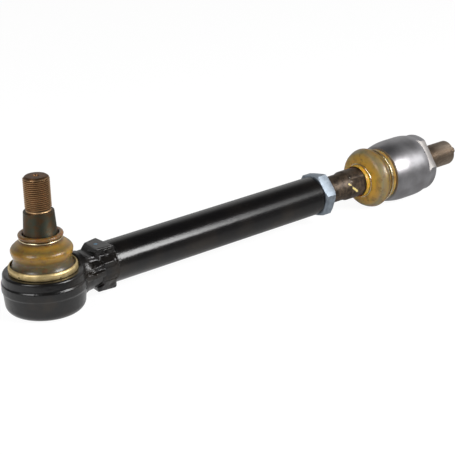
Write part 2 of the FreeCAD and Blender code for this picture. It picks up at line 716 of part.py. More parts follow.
def locknut():
    """Thin hexagon nut with both ends chamfered."""
    body = piece("locknut", TUBE_END, "nut_turned")
    corner = "(nut_across / 2 / cos(30))"
    lift = "(nut_corner * tan(nut_chamfer_angle))"
    turned(body, "Blank", [
        ("0", THREAD_R),
        ("0", f"{corner} - nut_corner"),
        (lift, corner),
        (f"nut_height - {lift}", corner),
        ("nut_height", f"{corner} - nut_corner"),
        ("nut_height", THREAD_R),
    ])
    flat = sketch_on(body, "FlatOutline", "YZ_Plane")
    reach = f"{corner} + overrun"
    outline(flat, [
        (f"-({reach})", "nut_across / 2"),
        (reach, "nut_across / 2"),
        (reach, reach),
        (f"-({reach})", reach),
    ])
    cut = body.newObject("PartDesign::Pocket", "Flat")
    cut.Profile = flat
    cut.Reversed = True
    bind(cut, "Length", "nut_height")
    check_step(body, cut, True)
    around = body.newObject("PartDesign::PolarPattern", "Flats")
    around.Originals = [cut]
    around.Axis = (next(item for item in body.Origin.OriginFeatures if item.Role == "X_Axis"), [""])
    around.Angle = 360
    around.Occurrences = 6
    body.Tip = around
    doc.recompute()
    return body


def flats(body, name, across, start, length, reach):
    """Mill two opposite flats, from start along X."""
    sketch = sketch_on(body, f"{name}Outline", "YZ_Plane", start)
    for side in ("", "-"):
        path = [
            (f"-({reach})", f"{side}({across} / 2)"),
            (reach, f"{side}({across} / 2)"),
            (reach, f"{side}({reach})"),
            (f"-({reach})", f"{side}({reach})"),
        ]
        outline(sketch, path)
    cut = body.newObject("PartDesign::Pocket", name)
    cut.Profile = sketch
    cut.Reversed = True
    bind(cut, "Length", length)
    check_step(body, cut, True)
    return cut


def ball_rod():
    """Adjusting rod: thread, forged neck, boss with flats, and ball."""
    body = piece("ball_rod", AXIAL, "90 - flats_turned")
    flat = "(axial_ball_dia / 2 - ball_flat)"
    neck_end = f"({ROD_NECK} - {AXIAL})"
    tip = f"({TUBE_END} - thread_hold - {AXIAL})"
    boss = f"({BOSS_START} - {AXIAL})"
    crest = "rod_thread_dia / 2"
    turned(body, "Rod", [
        (flat, "0"),
        (flat, ball_arc("axial_ball_dia", flat)),
        (f"-{ball_arc('axial_ball_dia', 'ball_neck_dia / 2')}", "ball_neck_dia / 2", "axial_ball_dia / 2"),
        ("-ball_neck_length", "ball_neck_dia / 2"),
        (f"-{BOSS_BACK}", "boss_dia / 2"),
        (boss, "boss_dia / 2"),
        (f"{boss} - shoulder_length", "rod_neck_dia / 2"),
        (neck_end, "rod_neck_dia / 2"),
        (f"{neck_end} - (rod_neck_dia - rod_thread_dia) / 2", crest),
        (f"{tip} + rod_chamfer", crest),
        (tip, f"{crest} - rod_chamfer"),
        (tip, "0"),
    ])
    flats(body, "BossFlats", "boss_flats", f"{boss} + flat_start", "flat_length", "boss_dia")
    return body


def axial_housing():
    """Bare steel barrel of the axial joint, with two wrench flats at its end."""
    body = piece("axial_housing", AXIAL, "wrench_turned")
    collar_end = "-(collar_start - collar_length)"
    swell = "(barrel_dia - barrel_shoulder_dia) / 2"
    swell_run = "(collar_start - collar_length + swell_end)"
    taper = "(barrel_dia - barrel_end_dia) / 2"
    taper_run = "(waist_end - waist_start)"
    socket = bore("axial_ball_dia")
    roof = "(seat_top + seat_slack)"
    turned(body, "Barrel", [
        ("-collar_start", throat("ball_neck_dia", "axial_tilt", "collar_start")),
        ("-collar_start", "collar_dia / 2"),
        (collar_end, "collar_dia / 2"),
        (collar_end, "barrel_shoulder_dia / 2"),
        ("swell_end", "barrel_dia / 2", f"-({swell_run}^2 + ({swell})^2) / (2 * {swell})"),
        ("waist_start", "barrel_dia / 2"),
        ("waist_end", "barrel_end_dia / 2", f"-({taper_run}^2 + ({taper})^2) / (2 * {taper})"),
        ("barrel_end", "barrel_end_dia / 2"),
        ("barrel_end", socket),
        (f"-({SEAT_END} + seat_slack)", socket),
        (f"-{roof}", f"{socket} - seat_bevel"),
        (f"-{roof}", throat("ball_neck_dia", "axial_tilt", roof)),
    ])
    flats(body, "WrenchFlats", "wrench_across", "barrel_end - wrench_length", "wrench_length", "barrel_dia")
    return body


def end_stud():
    """Threaded stud whose head closes the axial housing."""
    body = piece("end_stud", AXIAL)
    face = spring_end("axial_ball_dia")
    head = f"({bore('axial_ball_dia')} - head_gap)"
    head_end = "(barrel_end - head_inset)"
    thread_start = f"({head_end} + end_relief_length)"
    crest = "end_thread_dia / 2"
    tip = f"({thread_start} + end_thread_length)"
    turned(body, "Stud", [
        (face, "0"),
        (face, f"{head} - head_chamfer"),
        (f"{face} + head_chamfer", head),
        (head_end, head),
        (head_end, "end_relief_dia / 2"),
        (f"{thread_start} - (end_thread_dia - end_relief_dia) / 2", "end_relief_dia / 2"),
        (thread_start, crest),
        (f"{tip} - end_chamfer", crest),
        (tip, f"{crest} - end_chamfer"),
        (tip, "pip_dia / 2"),
        (f"{tip} + pip_length", "pip_dia / 2"),
        (f"{tip} + pip_length", "0"),
    ])
    return body


def axial_boot():
    """Boot with one large disc between the boss of the rod and the housing."""
    body = piece("axial_boot", AXIAL)
    lip_end = BOSS_BACK
    lip_start = f"({BOSS_BACK} + lip_length)"
    inside = "(boss_dia / 2 + boot_gap)"
    mid = f"({LIP_R} - groove_depth)"
    rim_back = "(disc_rim + disc_width / 2)"
    rim_front = "(disc_rim - disc_width / 2)"
    disc = "disc_dia / 2"
    tail_in = "(collar_dia / 2 + boot_gap)"
    tail_start = "(collar_start + boot_gap)"
    ring = "(collar_start - clamp_inset)"
    groove = f"({TAIL_R} - groove_depth)"
    fold = f"({TAIL_R} - fold_depth)"
    turned(body, "Boot", [
        (f"-{lip_start}", inside),
        (f"-{lip_start}", LIP_R),
        (f"-({lip_end} + groove_width)", LIP_R),
        (f"-({lip_end} + groove_width)", mid),
        (f"-{lip_end}", mid),
        (f"-{lip_end}", LIP_R),
        (f"-({lip_end} - disc_foot)", f"{LIP_R} + disc_crown"),
        (f"-{rim_back}", disc, "-disc_arc"),
        (f"-{rim_front}", disc),
        (f"-({rim_front} - disc_bevel)", f"{disc} - disc_bevel"),
        (f"-({tail_start} + fold_width)", fold),
        (f"-{tail_start}", fold),
        (f"-{tail_start}", TAIL_R),
        (f"-({ring} + groove_width / 2)", TAIL_R),
        (f"-({ring} + groove_width / 2)", groove),
        (f"-({ring} - groove_width / 2)", groove),
        (f"-({ring} - groove_width / 2)", TAIL_R),
        (f"-{TAIL_END}", TAIL_R),
        (f"-{TAIL_END}", tail_in),
        (f"-{tail_start}", tail_in),
        (f"-({tail_start} + fold_slope)", f"{tail_in} - fold_room"),
        (f"-{rim_front}", f"{disc} - boot_wall"),
        (f"-{rim_back}", f"{disc} - boot_wall"),
        (f"-({lip_end} - boot_wall)", f"{LIP_R} + disc_crown"),
        (f"-({lip_end} - boot_wall)", inside),
    ])
    return body


def build():
    """Make every piece and return them in the order of their names."""
    flip = "-90"
    pieces = [
        socket_forging(),
        closing_plate(),
        disc_spring("outer_disc_spring", "outer_ball_dia", "0", None),
        cup_seat("outer_cup_seat", "outer_ball_dia", "0", None),
        neck_seat("outer_neck_seat", "outer_ball_dia", "0", None),
        outer_ball_stud(),
        outer_boot(),
        outer_boot_clamp_band(),
        wire_ring("outer_boot_top_ring", f"{TOP_GROOVE_R} + boot_gap + ring_wire / 2", "ring_wire",
                  f"({FLANGE_START} + boot_throat) / 2", True),
        tube(),
        tube_weld(),
        locknut(),
        ball_rod(),
        neck_seat("axial_neck_seat", "axial_ball_dia", AXIAL, flip),
        cup_seat("axial_cup_seat", "axial_ball_dia", AXIAL, flip),
        disc_spring("axial_disc_spring", "axial_ball_dia", AXIAL, flip),
        axial_housing(),
        end_stud(),
        axial_boot(),
        wire_ring("axial_boot_rod_ring", f"{LIP_R} - groove_depth + boot_gap + ring_wire / 2", "ring_wire",
                  f"{AXIAL} - ({BOSS_BACK} + groove_width / 2)", False),
        wire_ring("axial_boot_clamp_ring", f"{TAIL_R} - groove_depth + boot_gap + clamp_wire / 2",
                  "clamp_wire", f"{AXIAL} - (collar_start - clamp_inset)", False),
    ]
    doc.recompute()
    return sorted(pieces, key=lambda item: item.Label)


def check(pieces):
    """Stop if anything in the document failed or has no sound shape."""
    for item in doc.Objects:
        if {"Invalid", "Error"} & set(item.State):
            raise RuntimeError(f"{item.Name} failed: {item.State}")
    for item in pieces:
        shape = item.Shape
        if shape.isNull() or not shape.isValid() or not shape.Solids:
            raise RuntimeError(f"{item.Label} has no sound solid")


def write(pieces):
    """Write one STEP file for each piece."""
    os.makedirs("parts", exist_ok=True)
    for item in pieces:
        item.Shape.exportStep(f"parts/{item.Label}.step")
        print(f"{item.Label}: {len(item.Shape.Solids)} solid, {item.Shape.Volume:.0f} mm3")


made = build()
check(made)
write(made)
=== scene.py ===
"""Looks of an adjustable tie rod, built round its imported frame. Sizes are in metres."""

import logging
import math
from collections.abc import Callable, Sequence
from dataclasses import dataclass, field
from enum import Enum

import bmesh
import bpy
from mathutils import Matrix, Vector


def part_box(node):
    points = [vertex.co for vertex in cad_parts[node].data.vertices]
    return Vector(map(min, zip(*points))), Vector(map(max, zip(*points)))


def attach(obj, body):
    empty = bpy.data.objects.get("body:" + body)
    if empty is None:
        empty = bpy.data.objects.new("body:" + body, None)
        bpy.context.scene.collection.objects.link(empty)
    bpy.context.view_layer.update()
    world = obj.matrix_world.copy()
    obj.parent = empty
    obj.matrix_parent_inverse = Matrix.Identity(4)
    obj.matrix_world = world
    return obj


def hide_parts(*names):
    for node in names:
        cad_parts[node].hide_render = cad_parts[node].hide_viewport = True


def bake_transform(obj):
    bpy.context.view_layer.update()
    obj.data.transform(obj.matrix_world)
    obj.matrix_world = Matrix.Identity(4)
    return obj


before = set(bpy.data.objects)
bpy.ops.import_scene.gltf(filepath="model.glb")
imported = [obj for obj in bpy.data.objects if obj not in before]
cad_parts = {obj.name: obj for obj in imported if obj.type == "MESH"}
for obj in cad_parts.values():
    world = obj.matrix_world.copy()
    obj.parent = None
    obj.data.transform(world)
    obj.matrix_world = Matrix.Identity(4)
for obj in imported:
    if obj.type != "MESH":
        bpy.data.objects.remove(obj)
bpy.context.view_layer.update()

log = logging.getLogger("tie_rod")

Point = tuple[float, float]
Colour = tuple[float, float, float]
Place = tuple[float, float, float]
Stroke = tuple[Place, Place]            # two ends of a line
Mark = tuple[Stroke, float, Colour]     # a line, its half width and its colour
Stop = tuple[float, Colour]             # a place on a ramp and its colour

MM = 0.001
ROUND = 96                  # segments of a turned piece
FINE_ROUND = 144            # segments of a boot
ON_AXIS = 1e-7              # a ring with a smaller radius is one point
WELD = 1e-6                 # points of a turned piece that are closer become one
CAD_WELD = 2e-6             # the same, for the copy of a CAD solid
THREAD_GAP = 0.01 * MM      # between a thread's last turn and the face behind it
AXIAL_X = 372.1 * MM        # centre of the axial ball


class Axis(Enum):
    """The direction that a turned piece's own axis takes."""

    ALONG = "x"
    UP = "z"

    def place(self, offset: float = 0.0) -> Matrix:
        """Matrix from the piece's own frame, whose axis is +Z, to the CAD frame.

        Args:
            offset: where the piece's zero lies along the axis.

        Returns:
            The 4x4 matrix.
        """
        if self is Axis.UP:
            return Matrix.Translation((0, 0, offset))
        return Matrix.Translation((offset, 0, 0)) @ Matrix.Rotation(math.radians(90), 4, "Y")


class Number:
    """A shader socket that can be used in sums as a number."""

    def __init__(self, nodes: "Nodes", socket: bpy.types.NodeSocket) -> None:
        """Wrap one output socket."""
        self.nodes = nodes
        self.socket = socket

    def _sum(self, operation: str, first: object, second: object) -> "Number":
        """Add one Math node and return its result."""
        node = self.nodes.node("ShaderNodeMath", {"operation": operation}, {0: first, 1: second})
        return Number(self.nodes, node.outputs[0])

    def __add__(self, other: object) -> "Number":
        """Add."""
        return self._sum("ADD", self, other)

    def __radd__(self, other: object) -> "Number":
        """Add, with the socket on the right."""
        return self._sum("ADD", other, self)

    def __sub__(self, other: object) -> "Number":
        """Subtract."""
        return self._sum("SUBTRACT", self, other)

    def __rsub__(self, other: object) -> "Number":
        """Subtract the socket from a number."""
        return self._sum("SUBTRACT", other, self)

    def __mul__(self, other: object) -> "Number":
        """Multiply."""
        return self._sum("MULTIPLY", self, other)

    def __rmul__(self, other: object) -> "Number":
        """Multiply, with the socket on the right."""
        return self._sum("MULTIPLY", other, self)

    def __truediv__(self, other: object) -> "Number":
        """Divide."""
        return self._sum("DIVIDE", self, other)

    def __rtruediv__(self, other: object) -> "Number":
        """Divide a number by the socket."""
        return self._sum("DIVIDE", other, self)

    def most(self, other: object) -> "Number":
        """The larger of two numbers."""
        return self._sum("MAXIMUM", self, other)

    def kept(self) -> "Number":
        """The number, kept between 0 and 1."""
        node = self.nodes.node("ShaderNodeClamp", {}, {"Value": self})
        return Number(self.nodes, node.outputs[0])

    def step(self, low: float, high: float) -> "Number":
        """Rise smoothly from 0 at low to 1 at high.

        Args:
            low: the value that gives 0.
            high: the value that gives 1. It may be the smaller one.

        Returns:
            The share between 0 and 1.
        """
        settings = {"interpolation_type": "SMOOTHSTEP"}
        ends = {"Value": self, "From Min": low, "From Max": high}
        if low > high:
            ends = {"Value": 0 - self, "From Min": -low, "From Max": -high}
        node = self.nodes.node("ShaderNodeMapRange", settings, ends)
        return Number(self.nodes, node.outputs[0])


class Nodes:
    """The nodes of a material or of the world."""

    FINER = 0.55                # how strong each finer layer of a cloudy pattern is

    def __init__(self, tree: bpy.types.NodeTree, place: str) -> None:
        """Start on a tree.

        Args:
            tree: the node tree.
            place: which texture coordinate gives the place.
        """
        self.tree = tree
        self.place = self.node("ShaderNodeTexCoord", {}, {}).outputs[place]

    def node(
        self, kind: str, settings: dict[str, object], inputs: dict[object, object],
    ) -> bpy.types.Node:
        """Add any node.

        Args:
            kind: the node's type.
            settings: its properties; stops is a list of (place, colour) of a ramp.
            inputs: its sockets by name or number, each with a value or a link.

        Returns:
            The node.
        """
        made = self.tree.nodes.new(kind)
        for key, value in settings.items():
            if key == "stops":
                self._stops(made.color_ramp, value)
            else:
                setattr(made, key, value)
        for key, value in inputs.items():
            self.plug(made.inputs[key], value)
        return made

    def plug(self, socket: bpy.types.NodeSocket, value: object) -> None:
        """Give a socket a value or a link."""
        value = value.socket if isinstance(value, Number) else value
        if isinstance(value, bpy.types.NodeSocket):
            self.tree.links.new(value, socket)
        else:
            socket.default_value = value

    @staticmethod
    def _stops(ramp: bpy.types.ColorRamp, stops: Sequence[Stop]) -> None:
        """Give a ramp its stops."""
        while len(ramp.elements) < len(stops):
            ramp.elements.new(1.0)
        for element, (at, colour) in zip(ramp.elements, stops):
            element.position = at
            element.color = (*colour, 1)

    def vector(self, operation: str, first: object, second: object) -> bpy.types.Node:
        """Add one Vector Math node."""
        settings = {"operation": operation}
        return self.node("ShaderNodeVectorMath", settings, {0: first, 1: second})

    def noise(self, size: float, detail: float = 3.0, stretch: Place = (1, 1, 1)) -> Number:
        """Cloudy pattern between 0 and 1.

        Args:
            size: the size of a cloud.
            detail: how many finer layers it has.
            stretch: how many times longer the clouds are along X, Y and Z.

        Returns:
            The pattern.
        """
        spread = self.vector("MULTIPLY", self.place, tuple(1 / share for share in stretch))
        values = {
            "Vector": spread.outputs[0], "Scale": 1 / size, "Detail": detail,
            "Roughness": self.FINER,
        }
        return Number(self, self.node("ShaderNodeTexNoise", {}, values).outputs["Fac"])

    def reach(self, centre: Sequence[float]) -> Number:
        """Distance of the surface from a point."""
        node = self.vector("DISTANCE", self.place, tuple(centre))
        return Number(self, node.outputs["Value"])

    def along(self, direction: Sequence[float]) -> Number:
        """How far the place lies along a direction."""
        node = self.vector("DOT_PRODUCT", self.place, tuple(direction))
        return Number(self, node.outputs["Value"])

    def stroke(self, start: Place, end: Place, across: Place = (1, 1, 1)) -> Number:
        """Distance of the surface from a straight line between two points.

        Args:
            start: one end of the line.
            end: its other end.
            across: 1 for each axis that counts and 0 for one that doesn't.

        Returns:
            The distance.
        """
        start, end = (tuple(a * b for a, b in zip(point, across)) for point in (start, end))
        run = Vector(end) - Vector(start)
        flat = self.vector("MULTIPLY", self.place, across).outputs[0]
        rel = self.vector("SUBTRACT", flat, start).outputs[0]
        shadow = Number(self, self.vector("DOT_PRODUCT", rel, tuple(run)).outputs["Value"])
        share = (shadow / run.length_squared).kept()
        settings = {"operation": "SCALE"}
        foot = self.node("ShaderNodeVectorMath", settings, {0: tuple(run), "Scale": share})
        return Number(self, self.vector("DISTANCE", rel, foot.outputs[0]).outputs["Value"])

    def stored(self, name: str) -> Number:
        """A value that is stored on the mesh's points."""
        node = self.node("ShaderNodeAttribute", {"attribute_name": name}, {})
        return Number(self, node.outputs["Fac"])

    def path(self, *kinds: str) -> Number:
        """1 for light rays of these kinds, otherwise 0."""
        outputs = self.node("ShaderNodeLightPath", {}, {}).outputs
        first, *rest = (Number(self, outputs[f"Is {kind} Ray"]) for kind in kinds)
        for other in rest:
            first = first + other
        return first

    def mix(self, share: object, first: object, second: object) -> bpy.types.NodeSocket:
        """Blend two colours.

        Args:
            share: 0 for the first colour, 1 for the second.
            first: a colour or a link.
            second: a colour or a link.

        Returns:
            The blended colour.
        """
        made = self.node("ShaderNodeMix", {"data_type": "RGBA"}, {0: share})
        colours = [socket for socket in made.inputs if socket.type == "RGBA"]
        for socket, value in zip(colours, (first, second)):
            self.plug(socket, (*value, 1) if isinstance(value, tuple) else value)
        return next(socket for socket in made.outputs if socket.type == "RGBA")

    def ramp(self, share: Number, stops: Sequence[Stop]) -> bpy.types.NodeSocket:
        """Colour by a value, through the stops of a ramp."""
        return self.node("ShaderNodeValToRGB", {"stops": stops}, {"Fac": share}).outputs[0]


class Shader(Nodes):
    """A material under construction, with one Principled shader."""

    def __init__(self, name: str, **fixed: object) -> None:
        """Start a material.

        Args:
            name: the material's name.
            fixed: values of the Principled shader that are the same all over.
        """
        self.material = bpy.data.materials.new(name)
        self.material.use_nodes = True
        super().__init__(self.material.node_tree, "Object")
        self.surface = self.tree.nodes["Principled BSDF"]
        for key, value in fixed.items():
            self.surface.inputs[key.replace("_", " ")].default_value = value

    def feed(self, **links: object) -> None:
        """Link varying values to the Principled shader, by the names of its sockets."""
        for key, value in links.items():
            self.plug(self.surface.inputs[key.replace("_", " ")], value)

    def bump(self, height: Number, depth: float) -> None:
        """Raise the surface by a pattern between 0 and 1, as high as depth."""
        values = {"Height": height, "Distance": depth, "Strength": 1.0}
        self.feed(Normal=self.node("ShaderNodeBump", {}, values).outputs[0])


@dataclass(frozen=True)
class BlackPaint:
    """Glossy black paint over steel."""

    name: str
    ripple: float                       # size of the paint's ripple
    ripple_depth: float
    scale_size: float                   # size of the forging marks under the paint
    scale_depth: float
    roughness: float
    mark: Place | None = None           # centre of a dot of blue paint
    ridges: tuple[Stroke, ...] = ()     # trimmed flash that still stands out
    ridge_depth: float = 0.5 * MM
    ridge: Point = (0.9 * MM, 0.2 * MM)     # half width at its foot and at its crest
    black: Colour = (0.0036, 0.0033, 0.0035)
    dusty: Colour = (0.014, 0.0105, 0.0075)
    dust_size: float = 22 * MM
    brown_low_heights: Point = (8 * MM, -4 * MM)    # heights between which the brown clouds grow stronger, towards the bottom
    blue: Colour = (0.03, 0.17, 0.32)
    pale_blue: Colour = (0.2, 0.5, 0.68)
    dot: Point = (2.1 * MM, 1.1 * MM)       # radius of the dot's rim and of its full colour
    core: Point = (1.0 * MM, 0.2 * MM)      # the same for its paler middle
    dot_grain: float = 1.3 * MM

    def build(self) -> bpy.types.Material:
        """Make the material."""
        shader = Shader(self.name, Specular_IOR_Level=0.5)
        dust = shader.noise(self.dust_size, 5.0)
        # The brown clouds grow stronger towards the bottom.
        low = shader.along((0, 0, 1)).step(*self.brown_low_heights)
        black = shader.mix(dust.step(0.42, 0.7) * (0.25 + low * 0.75), self.black, self.dusty)
        if self.mark:
            spot = shader.reach(self.mark)
            dot = spot.step(*self.dot) * shader.noise(self.dot_grain).step(0.2, 0.45)
            black = shader.mix(dot * 0.8, black, self.blue)
            black = shader.mix(spot.step(*self.core) * 0.7, black, self.pale_blue)
        shader.feed(Base_Color=black, Roughness=self.roughness + dust * 0.1)
        whole = self.ripple_depth + self.scale_depth
        height = shader.noise(self.ripple) * self.ripple_depth
        height = height + shader.noise(self.scale_size, 4.0) * self.scale_depth
        if self.ridges:
            whole = whole + self.ridge_depth
            for start, end in self.ridges:
                line = shader.stroke(start, end, (1, 0, 1))
                height = height + line.step(*self.ridge) * self.ridge_depth
        shader.bump(height / whole, whole)
        return shader.material


@dataclass(frozen=True)
class Steel:
    """Steel with a plated, phosphated or bare surface."""

    name: str
    light: Colour
    dark: Colour
    roughness: float
    spread: float = 0.12        # how much the roughness varies
    cloud: float = 6 * MM       # size of its colour clouds
    grain: float = 0.5 * MM     # size of its surface grain
    depth: float = 0.01 * MM    # depth of that grain
    metallic: float = 1.0
    turning: Axis | None = None     # axis of the turning marks
    pitch: float = 0.35 * MM        # spacing of those marks
    drawn: float = 60               # how many times longer than wide they are
    strokes: tuple[Mark, ...] = ()  # paint or scratches
    ragged: float = 1.5 * MM        # size of the breaks in their edges
    pits: tuple[Place, ...] = ()    # dark spots
    pit: Point = (0.9 * MM, 0.4 * MM)       # radius of a spot's rim and of its full colour
    pit_colour: Colour = (0.02, 0.015, 0.012)

    def build(self) -> bpy.types.Material:
        """Make the material."""
        shader = Shader(self.name)
        clouds = shader.noise(self.cloud, 4.0)
        height = shader.noise(self.grain, 2.0)
        if self.turning:
            far = self.drawn
            stretch = (1, far, far) if self.turning is Axis.ALONG else (far, far, 1)
            height = height * 0.4 + shader.noise(self.pitch, 2.0, stretch) * 0.6
        colour = shader.mix((clouds + height * 0.35).step(0.4, 0.95), self.dark, self.light)
        for centre in self.pits:
            spot = shader.reach(centre).step(*self.pit)
            colour = shader.mix(spot * 0.85, colour, self.pit_colour)
        painted = None
        for (start, end), half, paint in self.strokes:
            edge = shader.noise(self.ragged, 3.0) * half * 1.2
            mark = (shader.stroke(start, end) + edge).step(half * 1.5, half * 1.2)
            colour = shader.mix(mark * 0.95, colour, paint)
            painted = mark if painted is None else painted.most(mark)
        metal = self.metallic if painted is None else (1 - painted) * self.metallic
        roughness = self.roughness + clouds * self.spread
        shader.feed(Base_Color=colour, Roughness=roughness, Metallic=metal)
        shader.bump(height, self.depth)
        return shader.material


@dataclass(frozen=True)
class Phosphate:
    """Brown phosphate on a threaded stud whose thread crests are worn bright, with a painted
    highlight on one turned ring.
    """

    name: str
    axis: Place                 # direction of the stud
    thread_from: float          # where the thread begins along it
    crest: float                # radius of the thread
    depth: float                # depth of the thread
    ring: tuple[float, float]   # a turned ring with a painted highlight in the bright colour
    plain: Colour = (0.1, 0.055, 0.026)
    warm: Colour = (0.2, 0.1, 0.045)
    # bright colour of the worn crests and of the ring's painted highlight
    worn_and_lit: Colour = (0.66, 0.42, 0.22)
    dark: Colour = (0.06, 0.066, 0.048)
    edge: float = 0.5 * MM      # half of the change from plain stud to thread
    lit_ring_edge: float = 0.2 * MM

    def build(self) -> bpy.types.Material:
        """Make the material."""
        shader = Shader(self.name, Metallic=0.9)
        clouds = shader.noise(5 * MM, 4.0)
        grain = shader.noise(0.6 * MM, 3.0)
        place = shader.along(self.axis)
        flat = tuple(1 - share for share in self.axis)
        across = shader.vector("MULTIPLY", shader.place, flat).outputs[0]
        radius = Number(shader, shader.vector("LENGTH", across, (0, 0, 0)).outputs["Value"])
        crest = radius.step(self.crest - self.depth, self.crest - self.depth * 0.15)
        on_thread = place.step(self.thread_from - self.edge, self.thread_from + self.edge)
        low, high = self.ring
        on_lit_ring = place.step(low, low + self.lit_ring_edge) * place.step(high, high - self.lit_ring_edge)
        plain = shader.mix(clouds.step(0.35, 0.7), self.dark, self.plain)
        base = shader.mix(clouds.step(0.3, 0.75), self.plain, self.warm)
        thread = shader.mix(crest * (0.35 + grain * 0.8), base, self.worn_and_lit)
        colour = shader.mix(on_thread, plain, thread)
        # the ring gets a painted highlight
        shader.feed(
            Base_Color=shader.mix(on_lit_ring * 0.8, colour, self.worn_and_lit),
            Roughness=0.36 + grain * 0.2 - crest * on_thread * 0.1,
        )
        shader.bump(grain, 0.02 * MM)
        return shader.material


@dataclass(frozen=True)
class BootRubber:
    """Translucent amber boot, coloured by the stored height of its folds, with painted shade and
    painted highlights in its bands.
    """

    name: str
    # ramp of tones by height, with painted shade and painted highlights in its bands
    stops: tuple[Stop, ...]
    cloud: float = 6 * MM
    grease: float = 0.6         # how strongly grease darkens it from inside
    greasy: Colour = (0.09, 0.075, 0.035)
    rust: Colour = (0.16, 0.05, 0.015)
    skin: float = 1.6 * MM      # size of the rubber's own unevenness
    skin_depth: float = 0.06 * MM

    def build(self) -> bpy.types.Material:
        """Make the material."""
        shader = Shader(
            self.name, Coat_Weight=0.18, Coat_Roughness=0.14, Subsurface_Weight=0.75,
            Subsurface_Radius=(1.0, 0.5, 0.16), Subsurface_Scale=3.0 * MM,
        )
        clouds = shader.noise(self.cloud, 4.0)
        # colour by height: amber tones with painted shade and painted highlights in bands
        base = shader.ramp(shader.stored("fold"), self.stops)
        grease = shader.mix(clouds.step(0.5, 0.7) * self.grease, base, self.greasy)
        rusty = shader.noise(self.cloud * 0.7, 3.0).step(0.55, 0.68)
        colour = shader.mix(rusty * 0.5, grease, self.rust)
        shader.feed(Base_Color=colour, Roughness=0.26 + clouds * 0.16)
        shader.bump(shader.noise(self.skin, 3.0), self.skin_depth)
        return shader.material


@dataclass(frozen=True)
class Plastic:
    """Moulded seat plastic."""

    name: str
    colour: Colour
    shade: Colour

    def build(self) -> bpy.types.Material:
        """Make the material."""
        shader = Shader(self.name)
        clouds = shader.noise(4 * MM)
        colour = shader.mix(clouds, self.colour, self.shade)
        shader.feed(Base_Color=colour, Roughness=0.42 + clouds * 0.1)
        shader.bump(shader.noise(0.4 * MM), 0.01 * MM)
        return shader.material


def dress(piece: bpy.types.Object, material: bpy.types.Material) -> None:
    """Give a piece one material all over."""
    piece.data.materials.clear()
    piece.data.materials.append(material)
    for face in piece.data.polygons:
        face.material_index = 0


def link(name: str, mesh: bpy.types.Mesh) -> bpy.types.Object:
    """Put a mesh into the scene as a piece."""
    piece = bpy.data.objects.new(name, mesh)
    bpy.context.scene.collection.objects.link(piece)
    return piece


def shade(mesh: bpy.types.Mesh, angle: float = 30.0) -> None:
    """Smooth a mesh, with edges sharp beyond an angle in degrees."""
    mesh.shade_smooth()
    mesh.set_sharp_from_angle(angle=math.radians(angle))


def welded(mesh: bmesh.types.BMesh, name: str, distance: float) -> bpy.types.Mesh:
    """Make one closed surface of a working mesh, and free the working mesh.

    Args:
        mesh: the working mesh.
        name: the surface's name.
        distance: points that are closer become one.

    Returns:
        The surface.
    """
    bmesh.ops.remove_doubles(mesh, verts=mesh.verts, dist=distance)
    bmesh.ops.dissolve_degenerate(mesh, edges=mesh.edges, dist=distance)
    bmesh.ops.recalc_face_normals(mesh, faces=mesh.faces)
    data = bpy.data.meshes.new(name)
    mesh.to_mesh(data)
    mesh.free()
    return data


def rounded(corners: Sequence[Point], times: int = 3) -> list[Point]:
    """Cut the corners of a closed outline until it is smooth.

    Args:
        corners: the outline's corners.
        times: how often the corners are cut.

    Returns:
        The smooth outline.
    """
    points = list(corners)
    for _ in range(times):
        cut = []
        for here, there in zip(points, [*points[1:], points[0]]):
            for share in (0.25, 0.75):
                cut.append(tuple(a + (b - a) * share for a, b in zip(here, there)))
        points = cut
    return points


def between(value: float, low: float, high: float) -> float:
    """How far a value is on the way from low to high, between 0 and 1."""
    return min(1.0, max(0.0, (value - low) / (high - low)))


def smooth(value: float, low: float, high: float) -> float:
    """Rise smoothly from 0 at low to 1 at high."""
    share = between(value, low, high)
    return share * share * (3 - 2 * share)


def arc(centre: Point, radius: float, start: float, end: float, steps: int = 24) -> list[Point]:
    """Points of an arc in (along, radius), between two angles in degrees."""
    made = []
    for step in range(steps + 1):
        angle = math.radians(start + (end - start) * step / steps)
        made.append((centre[0] + radius * math.cos(angle), centre[1] + radius * math.sin(angle)))
    return made


@dataclass
class Thread:
    """A right-hand thread on a stretch of a turned piece."""

    start: float
    end: float
    crest: float
    pitch: float = 1.5 * MM
    depth: float = 0.92 * MM
    limit: Callable[[float], float] = field(default=lambda along: math.inf)
    runout: float = 0.0         # length over which the thread fades out before its end

    SHAPE = ((0.0, 0.0), (0.14, 0.0), (0.46, 1.0), (0.68, 1.0))     # shares of turn and depth

    def rows(self, segments: int) -> list[list[Point]]:
        """Rows of (along, radius) points, one row for each corner of each turn.

        Args:
            segments: the number of points round the piece.

        Returns:
            The rows, from the start of the thread to its end.
        """
        turns = math.ceil((self.end - self.start) / self.pitch) + 2
        made = []
        for turn in range(turns):
            for place, share in self.SHAPE:
                made.append([
                    self._point(turn + place + step / segments - 1, share)
                    for step in range(segments)
                ])
        return made

    def _point(self, turns: float, share: float) -> Point:
        """One point of the thread's surface."""
        along = min(max(self.start + self.pitch * turns, self.start), self.end)
        fade = 1.0
        if self.runout:
            fade = min(1.0, (self.end - along) / self.runout)
        return along, min(self.crest - self.depth * share * fade, self.limit(along))


